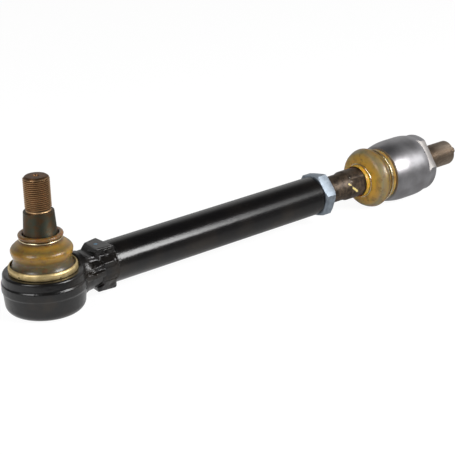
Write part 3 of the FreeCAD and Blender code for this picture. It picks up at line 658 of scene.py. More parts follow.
class Turned:
    """Mesh of a piece turned about its own axis."""

    def __init__(self, segments: int = ROUND) -> None:
        """Start an empty mesh."""
        self.mesh = bmesh.new()
        self.segments = segments
        self.last: list[bmesh.types.BMVert] = []

    def _ring(self, along: float, radius: float) -> list[bmesh.types.BMVert]:
        """One ring of points, or a single point on the axis."""
        if radius < ON_AXIS:
            return [self.mesh.verts.new((0, 0, along))]
        return [self._vert(along, radius, step) for step in range(self.segments)]

    def _vert(self, along: float, radius: float, step: int) -> bmesh.types.BMVert:
        """One point at a step round the axis."""
        angle = 2 * math.pi * step / self.segments
        return self.mesh.verts.new((radius * math.cos(angle), radius * math.sin(angle), along))

    def _join(self, first: list, second: list) -> None:
        """Join two rings with faces."""
        if len(first) == 1 and len(second) == 1:
            return
        for step in range(self.segments):
            after = (step + 1) % self.segments
            round_face = ((first, step), (first, after), (second, after), (second, step))
            corners = [ring[min(at, len(ring) - 1)] for ring, at in round_face]
            self.mesh.faces.new(list(dict.fromkeys(corners)))

    def profile(self, points: Sequence[Point]) -> "Turned":
        """Turn a stretch of plain outline, given as (along, radius) points.

        Args:
            points: the outline, from the last point on.

        Returns:
            The piece itself.
        """
        for along, radius in points:
            ring = self._ring(along, radius)
            if self.last:
                self._join(self.last, ring)
            self.last = ring
        return self

    def close(self) -> "Turned":
        """Join the last ring to the first one, for a piece with a hole through it."""
        first = list(self.mesh.verts)[: self.segments]
        self._join(self.last, first)
        return self

    def thread(self, spec: Thread) -> "Turned":
        """Cut a thread on from the last point."""
        rows = [
            [self._vert(along, radius, step) for step, (along, radius) in enumerate(row)]
            for row in spec.rows(self.segments)
        ]
        if self.last:
            self._join(self.last, rows[0])
        per_turn = len(Thread.SHAPE)
        for index in range(len(rows) - 1):
            for step in range(self.segments):
                if step + 1 < self.segments:
                    right, below = rows[index][step + 1], rows[index + 1][step + 1]
                else:
                    right = rows[min(index + per_turn, len(rows) - 1)][0]
                    below = rows[min(index + 1 + per_turn, len(rows) - 1)][0]
                corners = [rows[index][step], right, below, rows[index + 1][step]]
                corners = list(dict.fromkeys(corners))
                if len(corners) > 2 and self.mesh.faces.get(corners) is None:
                    self.mesh.faces.new(corners)
        self.last = rows[-1]
        return self

    def piece(self, name: str, placed: Matrix, angle: float = 30.0) -> bpy.types.Object:
        """Finish the mesh and put it into the scene.

        Args:
            name: the piece's name.
            placed: matrix from the piece's own frame to the CAD frame.
            angle: edges are sharp beyond this angle, in degrees.

        Returns:
            The piece.
        """
        data = welded(self.mesh, name, WELD)
        data.transform(placed)
        shade(data, angle)
        return link(name, data)


def clean_copy(node: str, name: str) -> bpy.types.Object:
    """Copy a CAD node's mesh as one closed surface, and let the copy stand for it."""
    mesh = bmesh.new()
    mesh.from_mesh(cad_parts[node].data)
    piece = link(name, welded(mesh, name, CAD_WELD))
    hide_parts(node)
    return piece


def bake(piece: bpy.types.Object) -> None:
    """Replace a piece's mesh by what its modifiers make of it."""
    graph = bpy.context.evaluated_depsgraph_get()
    data = bpy.data.meshes.new_from_object(piece.evaluated_get(graph))
    piece.modifiers.clear()
    piece.data = data


def soften(piece: bpy.types.Object, width: float, angle: float = 28.0) -> None:
    """Round the edges of a machined piece.

    Args:
        piece: the piece.
        width: how wide the round is.
        angle: edges under this angle, in degrees, stay as they are.
    """
    bevel = piece.modifiers.new("round", "BEVEL")
    bevel.width = width
    bevel.segments = 2
    bevel.limit_method = "ANGLE"
    bevel.angle_limit = math.radians(angle)
    bake(piece)
    shade(piece.data, 35)


def forge(piece: bpy.types.Object, cell: float, passes: int) -> None:
    """Blend all the corners of a forging softly.

    Args:
        piece: the piece.
        cell: size of the cells that it is rebuilt from.
        passes: how often it is smoothed.
    """
    remesh = piece.modifiers.new("cells", "REMESH")
    remesh.mode = "VOXEL"
    remesh.voxel_size = cell
    smoother = piece.modifiers.new("smooth", "SMOOTH")
    smoother.factor = 0.5
    smoother.iterations = passes
    bake(piece)
    piece.data.shade_smooth()


@dataclass(frozen=True)
class Shank:
    """Sizes of the forging's shank that the classes of its shapes share."""

    shank: float = 16.4 * MM
    waist: float = 15.3 * MM
    waist_end: float = 57.5 * MM
    under: float = 2.0 * MM         # points that lie deeper than this in the waist stay
    side: float = 15.4 * MM         # how far the flat side is from the middle
    lug_foot: float = 40.4 * MM
    lug: float = 44.5 * MM          # where the lugs have their full height
    lug_top: float = 17.5 * MM

    def _on_waist(self, vert: bpy.types.MeshVertex) -> bool:
        """Whether a point is outside enough to belong to the shank's surface."""
        return math.hypot(vert.co.y, vert.co.z) >= self.waist - self.under


@dataclass(frozen=True)
class RootFlare(Shank):
    """Soft corner in which the shank flares into the drum."""

    drum: float = 31.0 * MM
    reach: float = 6.0 * MM
    lift: float = 1.5 * MM          # how far it moves a point in the corner itself
    skin: float = 1.6 * MM          # points this close to drum or shank are on the surface
    above: Point = (-9 * MM, -3 * MM)       # heights between which it fades out
    below: Point = (12 * MM, 16 * MM)       # depths between which it fades out

    def shape(self, vert: bpy.types.MeshVertex) -> None:
        """Move one point of the forging outwards."""
        x, y, z = vert.co
        off_drum, off_shank = math.hypot(x, y) - self.drum, math.hypot(y, z) - self.shank
        if x < 0 or min(abs(off_drum), abs(off_shank)) > self.skin:
            return
        if max(off_drum, off_shank) < -self.skin:
            return
        share = max(0.0, 1 - abs(off_drum - off_shank) / self.reach) ** 2
        share *= 1 - smooth(z, *self.above) - smooth(-z, *self.below)
        out = Vector((x, y, 0)).normalized() + Vector((0, y, z)).normalized()
        vert.co += out.normalized() * share * self.lift


@dataclass(frozen=True)
class Waist(Shank):
    """Valley behind the drum, and ledges between the lugs."""

    start: float = 31.5 * MM
    run_in: float = 4 * MM
    upper: float = 5 * MM           # the valley is cut where the shank is higher than this
    bottom: float = 13.0 * MM       # height of the valley's bottom
    half: float = 9.3 * MM          # half width of the bottom
    bank: float = 6                 # slope beside it
    bottom_ledge: float = 13.4 * MM
    proud: float = 0.2 * MM         # how far the valley's side stands out of the flat side
    ledge: tuple[Point, float] = ((0.594, 0.804), 14.54 * MM)       # normal, distance
    round_waist: Point = (0.4 * MM, 0.2 * MM)   # points that far off waist and shank move
    run_out: Point = (4 * MM, 1 * MM)           # before the end of the waist
    lug_rise: float = 0.87          # share of height from which a point is on a lug
    flat_rise: float = 0.35         # share of height up to which it is on the flat side
    play: float = 0.15 * MM         # how far the flat side may stand out of its place
    least: float = 0.01             # keeps the sum defined where the surface faces up

    def shape(self, vert: bpy.types.MeshVertex) -> None:
        """Move one point of the forging to the valley's or a ledge's surface."""
        x, y, z = vert.co
        if not self.start < x < self.waist_end or not self._on_waist(vert):
            return
        if x < self.lug:
            self._valley(vert)
        elif abs(z) / math.hypot(y, z) < self.lug_rise:
            self._ledges(vert)

    def _valley(self, vert: bpy.types.MeshVertex) -> None:
        """Cut the valley from above, and set the flat side below it."""
        x, y, z = vert.co
        (across, up), _ = self.ledge
        share = smooth(x, self.start, self.start + self.run_in)
        if z > self.upper:
            climb = max(0.0, (x - self.lug_foot) / (self.lug - self.lug_foot))
            top = self.bottom + (self.lug_top - self.bottom) * climb
            bank = top - self.bank * max(0.0, abs(y) - self.half)
            ledge = (self.bottom_ledge - across * abs(y)) / up
            vert.co.z += (max(bank, min(top, ledge)) - z) * share
        elif abs(y) > self.side:
            vert.co.y += math.copysign((self.side + self.proud - abs(y)) * share, y)

    def _ledges(self, vert: bpy.types.MeshVertex) -> None:
        """Turn the round waist into two ledges and a flat side."""
        x, y, z = vert.co
        radius = math.hypot(y, z)
        flat, rise = abs(y) / radius, abs(z) / radius
        (across, up), far = self.ledge
        off_waist, off_shank = self.round_waist
        first, last = self.run_out
        share = 1 - smooth(radius, self.waist + off_waist, self.shank + off_shank)
        share *= 1 - smooth(x, self.waist_end - first, self.waist_end - last)
        target = min(far / (across * flat + up * rise), self.side / max(flat, self.least))
        grown = radius + (target - self.waist) * share
        if rise < self.flat_rise:
            grown = min(grown, target + self.play)
        vert.co = Vector((x, *(Vector((y, z)) * grown / radius)))


@dataclass(frozen=True)
class LugEnds(Shank):
    """Skewed lug ends, dimples in their sides, and the side that leans in below the seam."""

    skew: float = 2.7 * MM          # how much nearer to the drum a lug's front corner lies
    skew_half: float = 9.5 * MM     # half of the width over which the end is skewed
    skew_from: Point = (10 * MM, 13 * MM)   # heights between which the skew grows
    skew_run: tuple[Point, Point] = ((40 * MM, 43 * MM), (44.5 * MM, 50.5 * MM))    # grows, fades
    widen: float = 1.3 * MM         # how much wider a lug's far side is at the tube
    widen_run: float = 13 * MM      # length over which it widens
    widen_from: float = 8 * MM      # points nearer to the middle than this stay
    dimple: Point = (52.0 * MM, 11.8 * MM)      # place along the shank, height
    dimple_radius: float = 2.7 * MM
    dimple_depth: float = 0.6 * MM
    dimple_from: float = 9 * MM     # points nearer to the middle than this stay
    past: float = 1 * MM            # how far past the waist's end a point may move
    seam: float = 6.7 * MM          # depth of the seam below which the side leans in
    lean: float = 0.46              # slope of that side
    lean_depths: Point = (7 * MM, 16.6 * MM)
    lean_from: float = 8.5 * MM     # points nearer to the middle than this stay
    lean_grow: float = 1.5 * MM     # depth over which it begins
    lean_ends: Point = (43.5 * MM, 58.0 * MM)   # along the shank
    lean_fade: float = 2 * MM       # length over which it begins and ends

    def shape(self, vert: bpy.types.MeshVertex) -> None:
        """Move one point of the forging."""
        end = self.waist_end + self.past
        if not self.lug_foot < vert.co.x < end or not self._on_waist(vert):
            return
        x, y, z = vert.co
        along, up = self.dimple
        off = math.hypot(x - along, abs(z) - up) / self.dimple_radius
        if off < 1 and abs(y) > self.dimple_from:
            vert.co.y -= math.copysign(self.dimple_depth * (1 - off ** 2), y)
        if abs(z) > self.skew_from[0]:
            rise, fall = self.skew_run
            edge = smooth(abs(z), *self.skew_from) * (1 - smooth(x, *fall)) * smooth(x, *rise)
            vert.co.x -= self.skew * edge * between(-y, -self.skew_half, self.skew_half)
            if y > self.widen_from:
                vert.co.y += self.widen * between(x, self.lug, self.lug + self.widen_run)
        self._lean(vert, x, y, z)

    def _lean(self, vert: bpy.types.MeshVertex, x: float, y: float, z: float) -> None:
        """Lean the side in below the seam, from where the point was at first."""
        near, deep = self.lean_depths
        start, end = self.lean_ends
        if not near < -z < deep or abs(y) <= self.lean_from or x <= start:
            return
        share = smooth(-z, near, near + self.lean_grow)
        share *= smooth(x, start, start + self.lean_fade)
        share *= 1 - smooth(x, end - self.lean_fade, end)
        target = self.side - (-z - self.seam) * self.lean
        vert.co.y += math.copysign(max(0.0, target - abs(y)) * share, y)


@dataclass
class OuterSocket:
    """Forging, closing plate, clamp band, tube and weld: everything on the root body."""

    body: str = "socket_and_tube"
    cell: float = 0.52 * MM         # of the rebuilt forging. Smaller ones make too large a mesh
    passes: int = 3
    shapes: tuple[RootFlare, Waist, LugEnds] = (RootFlare(), Waist(), LugEnds())
    tube_start: float = 59.1 * MM
    tube_radius: float = 16.5 * MM
    bead_half: float = 1.5 * MM
    bead_centre: float = 0.9 * MM   # depths under the tube's surface
    bead_inside: float = 1.0 * MM
    bead_skin: float = 0.3 * MM     # points deeper than this aren't rippled
    bead_over: float = 0.04 * MM    # how far it stands out
    ripples: int = 46
    ripple_depth: float = 0.07 * MM
    plate_edge: float = 0.3 * MM
    band_edge: float = 0.2 * MM
    dot: Place = (48.6 * MM, 0.4 * MM, 17.5 * MM)
    flash: tuple[Stroke, ...] = (
        ((22.2 * MM, -22.2 * MM, 3.5 * MM), (28.9 * MM, -16.4 * MM, 3.0 * MM)),
        ((28.9 * MM, -16.4 * MM, 3.0 * MM), (37.3 * MM, -14.3 * MM, 7.1 * MM)),
        ((24.0 * MM, -20.8 * MM, 1.6 * MM), (36.0 * MM, -15.6 * MM, 4.6 * MM)),
        ((45.8 * MM, -10.0 * MM, 12.6 * MM), (47.3 * MM, -10.3 * MM, 14.9 * MM)),
        ((47.3 * MM, -10.3 * MM, 14.9 * MM), (55.2 * MM, -11.7 * MM, 15.2 * MM)),
        ((43.8 * MM, -12.2 * MM, 9.6 * MM), (43.0 * MM, -15.0 * MM, 5.6 * MM)),
    )
    specks: tuple[Place, ...] = (
        (-25.3 * MM, -6.2 * MM, 12.9 * MM), (-2.0 * MM, -26.0 * MM, 12.0 * MM),
    )

    def build(self) -> None:
        """Make and dress the pieces."""
        forged = BlackPaint(
            "forged_black_paint", ripple=1.3 * MM, ripple_depth=0.11 * MM, scale_size=4 * MM,
            scale_depth=0.24 * MM, roughness=0.2, mark=self.dot, ridges=self.flash,
            dusty=(0.024, 0.016, 0.009),
        )
        drawn = BlackPaint(
            "drawn_black_paint", ripple=1.0 * MM, ripple_depth=0.045 * MM, scale_size=6 * MM,
            scale_depth=0.04 * MM, roughness=0.13,
        )
        zinc = Steel("plate_zinc_finish", (0.95, 0.93, 0.86), (0.72, 0.69, 0.6), 0.36)
        gold = Steel(
            "band_gold_finish", (0.8, 0.64, 0.34), (0.56, 0.42, 0.19), 0.45, cloud=4 * MM,
            pits=self.specks,
        )
        self._forging(forged.build())
        self._weld(drawn.build())
        dress(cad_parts["tube"], drawn.build())
        plate, band = zinc.build(), gold.build()
        self._pressed("closing_plate", "dished_plate", plate, self.plate_edge)
        self._pressed("outer_boot_clamp_band", "clamp_band", band, self.band_edge)

    def _forging(self, paint: bpy.types.Material) -> None:
        """The painted forging, with soft corners."""
        piece = clean_copy("socket_forging", "forged_socket")
        forge(piece, self.cell, self.passes)
        for vert in piece.data.vertices:
            for part in self.shapes:
                part.shape(vert)
        dress(piece, paint)
        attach(piece, self.body)
        log.info("forged socket: %d faces", len(piece.data.polygons))

    def _weld(self, paint: bpy.types.Material) -> None:
        """The rippled bead between forging and tube, flush with the tube."""
        tube, half = self.tube_radius, self.bead_half
        crown = arc((0, tube - self.bead_centre), half, 0, 180, 16)
        outline = [(along, min(radius, tube + self.bead_over)) for along, radius in crown]
        outline += [(-half, tube - self.bead_inside), (half, tube - self.bead_inside)]
        bead = Turned(ROUND * 2).profile(outline).close()
        piece = bead.piece("weld_bead", Axis.ALONG.place(self.tube_start), 60)
        for vert in piece.data.vertices:
            angle = math.atan2(vert.co.z, vert.co.y)
            drop = self.ripple_depth * (0.5 + 0.5 * math.sin(angle * self.ripples))
            flat = Vector((0, vert.co.y, vert.co.z))
            if flat.length > tube - self.bead_skin:
                vert.co -= flat.normalized() * drop
        dress(piece, paint)
        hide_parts("tube_weld")
        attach(piece, self.body)
        log.info("weld bead")

    def _pressed(
        self, node: str, name: str, material: bpy.types.Material, width: float,
    ) -> None:
        """A pressed piece with rounded edges."""
        piece = clean_copy(node, name)
        soften(piece, width)
        dress(piece, material)
        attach(piece, self.body)
        log.info(name)


@dataclass
class TaperedStud:
    """The upright ball stud."""

    body: str = "tapered_stud"
    ball: float = 16.5 * MM
    ball_flat: float = 14.5 * MM
    neck: float = 9.5 * MM
    neck_top: float = 23.5 * MM
    collar: float = 12.8 * MM
    collar_start: float = 33.5 * MM
    taper_start: float = 42.0 * MM
    taper_large: float = 12.55 * MM
    taper_end: float = 57.5 * MM
    taper_small: float = 11.58 * MM
    undercut: float = 9.08 * MM
    undercut_top: float = 59.2 * MM
    crest: float = 10.0 * MM
    top: float = 84.3 * MM
    chamfer: float = 2.0 * MM
    top_edge: float = 0.2 * MM
    centre_drill: float = 2.4 * MM
    drill_tip: float = 0.6 * MM
    collar_edge: float = 0.5 * MM
    taper_edge: float = 0.35 * MM
    fillet: float = 0.9 * MM        # at the foot of the taper's small end
    lit_ring_gaps: Point = (0.05 * MM, 0.4 * MM)    # from taper and thread to the ring with the painted highlight

    def build(self) -> None:
        """Make and dress the stud."""
        foot = math.degrees(math.acos(-self.ball_flat / self.ball))
        neck = math.degrees(math.asin(self.neck / self.ball))
        cove = [
            (self.neck_top + (self.collar_start - self.neck_top) * share,
             self.neck + (self.collar - self.neck) * (1 - math.cos(share * math.pi / 2)))
            for share in (step / 10 for step in range(11))
        ]
        fillet = [
            (self.taper_end + self.fillet * (1 - math.cos(turn)),
             self.undercut + self.fillet * (1 - math.sin(turn)))
            for turn in (step * math.pi / 16 for step in range(9))
        ]
        rise = self.crest - self.undercut

        def limit(along: float) -> float:
            """Radius that the run-in cone and the rounded top chamfer leave."""
            run_in = self.undercut + (along - self.undercut_top)
            over = max(0.0, along - (self.top - self.chamfer)) / self.chamfer
            return min(run_in, self.crest - self.chamfer * over ** 1.5)

        thread_top = self.top - THREAD_GAP
        thread = Thread(self.undercut_top, thread_top, self.crest, depth=rise, limit=limit)
        top, drill = self.top, self.centre_drill
        piece = (
            Turned()
            .profile([(-self.ball_flat, 0)])
            .profile(arc((0, 0), self.ball, foot, neck, 40))
            .profile(cove)
            .profile([(self.taper_start - self.collar_edge, self.collar)])
            .profile([(self.taper_start, self.taper_large)])
            .profile([(self.taper_end - self.taper_edge, self.taper_small)])
            .profile([(self.taper_end, self.taper_small - self.taper_edge)])
            .profile(fillet)
            .thread(thread)
            .profile([(top, self.crest - self.chamfer - self.top_edge), (top, drill)])
            .profile([(top - drill, self.drill_tip), (top - 2 * drill, 0)])
            .piece("tapered_ball_stud", Axis.UP.place())
        )
        # the undercut ring gets a painted highlight
        ring = (self.taper_end + self.lit_ring_gaps[0], self.undercut_top - self.lit_ring_gaps[1])
        finish = Phosphate("stud_phosphate", (0, 0, 1), self.undercut_top, self.crest, rise, ring)
        dress(piece, finish.build())
        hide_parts("outer_ball_stud")
        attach(piece, self.body)
        log.info("tapered ball stud: %d faces", len(piece.data.polygons))


@dataclass(frozen=True)
class Boot:
    """A moulded boot, turned from a closed outline of (along, radius) corners in millimetres."""

    name: str
    node: str
    axis: Axis
    outline: tuple[Point, ...]
    rubber: BootRubber
    foot: str                   # body that carries its foot
    head: str                   # body that its other end follows
    bend_from: float
    bend_to: float
    offset: float = 0.0

    def build(self) -> None:
        """Make and dress the boot."""
        corners = [(along * MM, radius * MM) for along, radius in self.outline]
        shell = Turned(FINE_ROUND).profile(rounded(corners)).close()
        piece = shell.piece(self.name, self.axis.place(self.offset), 50)
        letter = 2 if self.axis is Axis.UP else 0
        places = [vert.co[letter] for vert in piece.data.vertices]
        low, high = min(places), max(places)
        store = piece.data.attributes.new("fold", "FLOAT", "POINT")
        store.data.foreach_set("value", [(at - low) / (high - low) for at in places])
        dress(piece, self.rubber.build())
        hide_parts(self.node)
        ends = [[0.0, 0.0, 0.0], [0.0, 0.0, 0.0]]
        ends[0][letter] = self.bend_from
        ends[1][letter] = self.bend_to
        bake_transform(piece)
        log.info("%s: %d faces", self.name, len(piece.data.polygons))


OUTER_OUTLINE = (
    (11.3, 21.6), (11.3, 24.2), (14.9, 24.2), (16.3, 22.8), (20.1, 21.6), (21.5, 21.6),
    (26.0, 23.4), (28.8, 23.4), (31.6, 20.6), (35.4, 14.9), (37.5, 14.9), (37.5, 16.1),
    (38.4, 17.0), (39.6, 17.0), (40.5, 16.1), (40.5, 13.1), (33.3, 13.1), (29.5, 19.9),
    (27.4, 21.3), (22.2, 19.5), (20.1, 19.5), (16.6, 21.6),
)

AXIAL_OUTLINE = (
    (-44.1, 13.1), (-44.1, 14.3), (-40.6, 14.3), (-40.6, 13.55), (-38.5, 13.55), (-38.5, 14.3),
    (-37.9, 16.5), (-37.4, 19.4), (-35.7, 23.8), (-30.5, 26.25), (-27.9, 26.25), (-26.9, 25.25),
    (-26.3, 22.2), (-24.6, 22.2), (-24.6, 23.2), (-22.85, 23.2), (-22.85, 22.45),
    (-20.75, 22.45), (-20.75, 23.2), (-16.1, 23.2), (-16.1, 21.2), (-24.6, 21.2),
    (-27.1, 20.2), (-27.9, 24.15), (-30.5, 24.15), (-34.6, 22.0), (-36.4, 17.5), (-36.4, 13.1),
)

# Amber tones of the hat boot by height. Painted shade on the foot and waist under the bulge and
# under the top lip; painted highlights on the bulge and upper shoulder.
OUTER_SHADED_STOPS = (
    (0.0, (0.05, 0.035, 0.015)), (0.2, (0.085, 0.062, 0.025)), (0.36, (0.14, 0.095, 0.03)),
    (0.44, (0.28, 0.155, 0.018)), (0.58, (0.36, 0.2, 0.018)), (0.68, (0.17, 0.11, 0.025)),
    (0.76, (0.32, 0.18, 0.025)), (0.82, (0.1, 0.055, 0.02)), (0.9, (0.17, 0.085, 0.022)),
    (1.0, (0.22, 0.11, 0.025)),
)

# Amber tones of the disc boot by height. Painted shade in the groove and on the disc's face;
# painted highlights on the lips and rims.
AXIAL_SHADED_STOPS = (
    (0.0, (0.62, 0.35, 0.04)), (0.22, (0.66, 0.38, 0.045)), (0.34, (0.26, 0.22, 0.12)),
    (0.44, (0.28, 0.21, 0.09)), (0.5, (0.3, 0.19, 0.05)), (0.56, (0.14, 0.09, 0.03)),
    (0.62, (0.2, 0.12, 0.03)), (0.66, (0.05, 0.032, 0.014)), (0.7, (0.05, 0.032, 0.014)),
    (0.73, (0.34, 0.21, 0.04)), (0.8, (0.15, 0.09, 0.025)), (0.88, (0.34, 0.21, 0.045)),
    (1.0, (0.4, 0.25, 0.05)),
)


@dataclass
class Boots:
    """Both boots with their rings."""

    outer: Boot = Boot(
        "hat_boot", "outer_boot", Axis.UP, OUTER_OUTLINE,
        BootRubber("outer_boot_rubber", OUTER_SHADED_STOPS), "outer_boot_body", "outer_ring_body",
        bend_from=16.5 * MM, bend_to=35.2 * MM,
    )
    axial: Boot = Boot(
        "disc_boot", "axial_boot", Axis.ALONG, AXIAL_OUTLINE,
        BootRubber("axial_boot_rubber", AXIAL_SHADED_STOPS, grease=0.35),
        "axial_boot_body", "axial_ring_body",
        bend_from=AXIAL_X - 38.0 * MM, bend_to=AXIAL_X - 24.5 * MM, offset=AXIAL_X,
    )
    rings: tuple[str, ...] = (
        "outer_boot_top_ring", "axial_boot_rod_ring", "axial_boot_clamp_ring",
    )

    def build(self) -> None:
        """Make and dress the boots, and dress the rings."""
        self.outer.build()
        self.axial.build()
        wire = Steel(
            "ring_wire_finish", (0.92, 0.82, 0.58), (0.66, 0.54, 0.32), 0.2, cloud=3 * MM,
        )
        for ring in self.rings:
            dress(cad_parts[ring], wire.build())
            log.info("dressed %s", ring)

@dataclass
class AdjustingRod:
    """The threaded rod with its forged boss and ball."""

    body: str = "adjusting_rod"
    tip: float = 223.1 * MM
    chamfer: float = 1.5 * MM
    crest: float = 11.0 * MM
    depth: float = 0.92 * MM
    runout: float = 4 * MM
    thread_end: float = 287.0 * MM
    neck_start: float = 287.6 * MM
    neck: float = 11.6 * MM
    neck_end: float = 308.6 * MM
    boss_start: float = 311.1 * MM
    boss: float = 12.8 * MM
    boss_end: float = 333.6 * MM
    boss_rings: int = 40            # the boss needs rings for its flats to be pressed into
    ball_neck_start: float = 340.6 * MM
    ball_neck: float = 9.3 * MM
    ball: float = 16.0 * MM
    ball_flat: float = 14.0 * MM
    flat_half: float = 11.0 * MM
    flats: tuple[float, float] = (312.1 * MM, 327.6 * MM)
    turned: float = 80.0        # angle of the flats' normal about X, in degrees
    yellow_mark: Mark = (
        ((309.2 * MM, -11.0 * MM, 4.5 * MM), (318.2 * MM, -11.8 * MM, -3.6 * MM)),
        1.2 * MM, (0.72, 0.58, 0.2),
    )
    scratch: Mark = (
        ((312.0 * MM, -8.6 * MM, 9.5 * MM), (313.3 * MM, -10.2 * MM, 5.5 * MM)),
        0.4 * MM, (0.5, 0.46, 0.4),
    )

    def build(self) -> None:
        """Make and dress the rod."""
        thread = Thread(
            self.tip, self.thread_end, self.crest, depth=self.depth, runout=self.runout,
            limit=lambda along: self.crest - self.chamfer + (along - self.tip),
        )
        reach = math.sqrt(self.ball ** 2 - self.ball_neck ** 2)
        foot = 180 - math.degrees(math.asin(self.ball_neck / self.ball))
        end = math.degrees(math.acos(self.ball_flat / self.ball))
        step = (self.boss_end - self.boss_start) / self.boss_rings
        boss = [self.boss_start + step * ring for ring in range(self.boss_rings + 1)]
        piece = (
            Turned()
            .profile([(self.tip, 0)])
            .thread(thread)
            .profile([(self.neck_start, self.neck), (self.neck_end, self.neck)])
            .profile([(along, self.boss) for along in boss])
            .profile([(self.ball_neck_start, self.ball_neck), (AXIAL_X - reach, self.ball_neck)])
            .profile(arc((AXIAL_X, 0), self.ball, foot, end, 30))
            .profile([(AXIAL_X + self.ball_flat, 0)])
            .piece("threaded_ball_rod", Axis.ALONG.place())
        )
        self._flatten(piece)
        finish = Steel(
            "rod_scale_finish", (0.12, 0.085, 0.058), (0.024, 0.017, 0.012), 0.34, spread=0.25,
            cloud=3.5 * MM, grain=0.9 * MM, depth=0.07 * MM, metallic=0.6,
            strokes=(self.yellow_mark, self.scratch),
        )
        dress(piece, finish.build())
        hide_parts("ball_rod")
        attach(piece, self.body)
        log.info("threaded ball rod: %d faces", len(piece.data.polygons))

    def _flatten(self, piece: bpy.types.Object) -> None:
        """Press the two wrench flats into the boss."""
        angle = math.radians(self.turned)
        normal = Vector((0, -math.sin(angle), math.cos(angle)))
        for vert in piece.data.vertices:
            height = vert.co.dot(normal)
            inside = self.flats[0] <= vert.co.x <= self.flats[1]
            if inside and abs(height) > self.flat_half:
                vert.co -= normal * (height - math.copysign(self.flat_half, height))
        shade(piece.data, 30)


@dataclass
class EndJoint:
    """Axial housing, end stud and locknut."""

    pits: tuple[Place, ...] = ((393.6 * MM, -21.2 * MM, 16.4 * MM),)
    crest: float = 11.0 * MM
    depth: float = 0.92 * MM
    chamfer: float = 2.0 * MM
    head_chamfer: float = 1.6 * MM
    head_end: float = AXIAL_X + 31.5 * MM
    relief: float = 10.2 * MM
    thread_start: float = 406.6 * MM
    pip: float = 3.0 * MM
    pip_edge: float = 0.6 * MM
    pip_length: float = 8.5 * MM
    turned: float = -68.0           # how far the housing is turned about its own axis, degrees
    flat_normal: Place = (0.0, -0.829, 0.559)
    flat_half: float = 21.8 * MM    # how far the housing's flats are from its axis
    flat_match: Point = (0.999, 0.1 * MM)   # least cosine with a flat, most distance from it
    housing_edge: float = 0.2 * MM
    nut_edge: float = 0.3 * MM

    def build(self) -> None:
        """Make and dress the pieces."""
        self._housing()
        self._locknut()
        self._end_stud()

    def _on_flat(self, face: bpy.types.MeshPolygon) -> bool:
        """Whether a face lies on one of the housing's two flats."""
        normal = Vector(self.flat_normal)
        parallel, near = self.flat_match
        off = abs(abs(face.center.dot(normal)) - self.flat_half)
        return abs(face.normal.dot(normal)) > parallel and off < near

    def _housing(self) -> None:
        """The turned housing with its two milled flats."""
        bare = Steel(
            "housing_bare_steel", (0.46, 0.455, 0.47), (0.3, 0.29, 0.3), 0.34,
            cloud=14 * MM, depth=0.006 * MM, turning=Axis.ALONG, pits=self.pits,
        )
        # The flats' steel is rougher, as milled; its lighter colour is painted light from the
        # softbox that the flats face.
        milled = Steel(
            "housing_milled_lit_steel", (0.56, 0.53, 0.51), (0.42, 0.4, 0.39), 0.5, cloud=9 * MM,
            depth=0.004 * MM, pits=self.pits,
        )
        housing = clean_copy("axial_housing", "barrel_housing")
        housing.data.transform(Matrix.Rotation(math.radians(self.turned), 4, "X"))
        soften(housing, self.housing_edge, 20)
        dress(housing, bare.build())
        housing.data.materials.append(milled.build())
        for face in housing.data.polygons:
            face.material_index = int(self._on_flat(face))
        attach(housing, "axial_joint")
        log.info("barrel housing: %d faces", len(housing.data.polygons))

    def _locknut(self) -> None:
        """The thin locknut."""
        zinc = Steel("nut_zinc_finish", (0.44, 0.5, 0.56), (0.27, 0.31, 0.36), 0.5, cloud=4 * MM)
        nut = clean_copy("locknut", "thin_locknut")
        soften(nut, self.nut_edge, 20)
        dress(nut, zinc.build())
        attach(nut, "locknut_body")
        log.info("thin locknut")

    def _end_stud(self) -> None:
        """The threaded end stud with its pip."""
        low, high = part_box("end_stud")
        face, head, end = low.x, high.z, high.x
        tip = end - self.pip_length
        root = self.crest - self.depth

        def limit(along: float) -> float:
            """Radius that the run-in and the end chamfer leave."""
            run_in = root + (along - self.thread_start)
            return min(run_in, self.crest - max(0.0, along - (tip - self.chamfer)))

        thread_end = tip - THREAD_GAP
        thread = Thread(self.thread_start, thread_end, self.crest, depth=self.depth, limit=limit)
        inner = head - self.head_chamfer
        piece = (
            Turned()
            .profile([(face, 0), (face, inner), (face + self.head_chamfer, head)])
            .profile([(self.head_end, head), (self.head_end, self.relief)])
            .profile([(self.thread_start - 0.1 * MM, root)])
            .thread(thread)
            .profile([(tip, self.crest - self.chamfer), (tip, self.pip)])
            .profile([(end - self.pip_edge, self.pip), (end, self.pip - self.pip_edge), (end, 0)])
            .piece("threaded_end_stud", Axis.ALONG.place())
        )
        # The end chamfer gets a painted highlight in the bright colour.
        finish = Phosphate(
            "end_stud_phosphate", (1, 0, 0), self.thread_start, self.crest, self.depth,
            ring=(tip - self.chamfer, tip + 0.1 * MM), plain=(0.14, 0.105, 0.08),
            warm=(0.24, 0.18, 0.13), worn_and_lit=(0.5, 0.42, 0.34), dark=(0.07, 0.065, 0.066),
        )
        dress(piece, finish.build())
        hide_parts("end_stud")
        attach(piece, "axial_joint")
        log.info("threaded end stud")


@dataclass
class InnerPieces:
    """Seats and disc springs inside the joints."""

    seats: tuple[str, ...] = (
        "outer_cup_seat", "outer_neck_seat", "axial_cup_seat", "axial_neck_seat",
    )
    springs: tuple[str, ...] = ("outer_disc_spring", "axial_disc_spring")

    def build(self) -> None:
        """Dress the inner pieces."""
        acetal = Plastic("seat_acetal", (0.78, 0.76, 0.7), (0.7, 0.67, 0.6)).build()
        spring = Steel("spring_steel_finish", (0.3, 0.3, 0.31), (0.16, 0.15, 0.15), 0.3).build()
        for node in self.seats:
            dress(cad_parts[node], acetal)
        for node in self.springs:
            dress(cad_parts[node], spring)
        log.info("dressed %d inner pieces", len(self.seats) + len(self.springs))


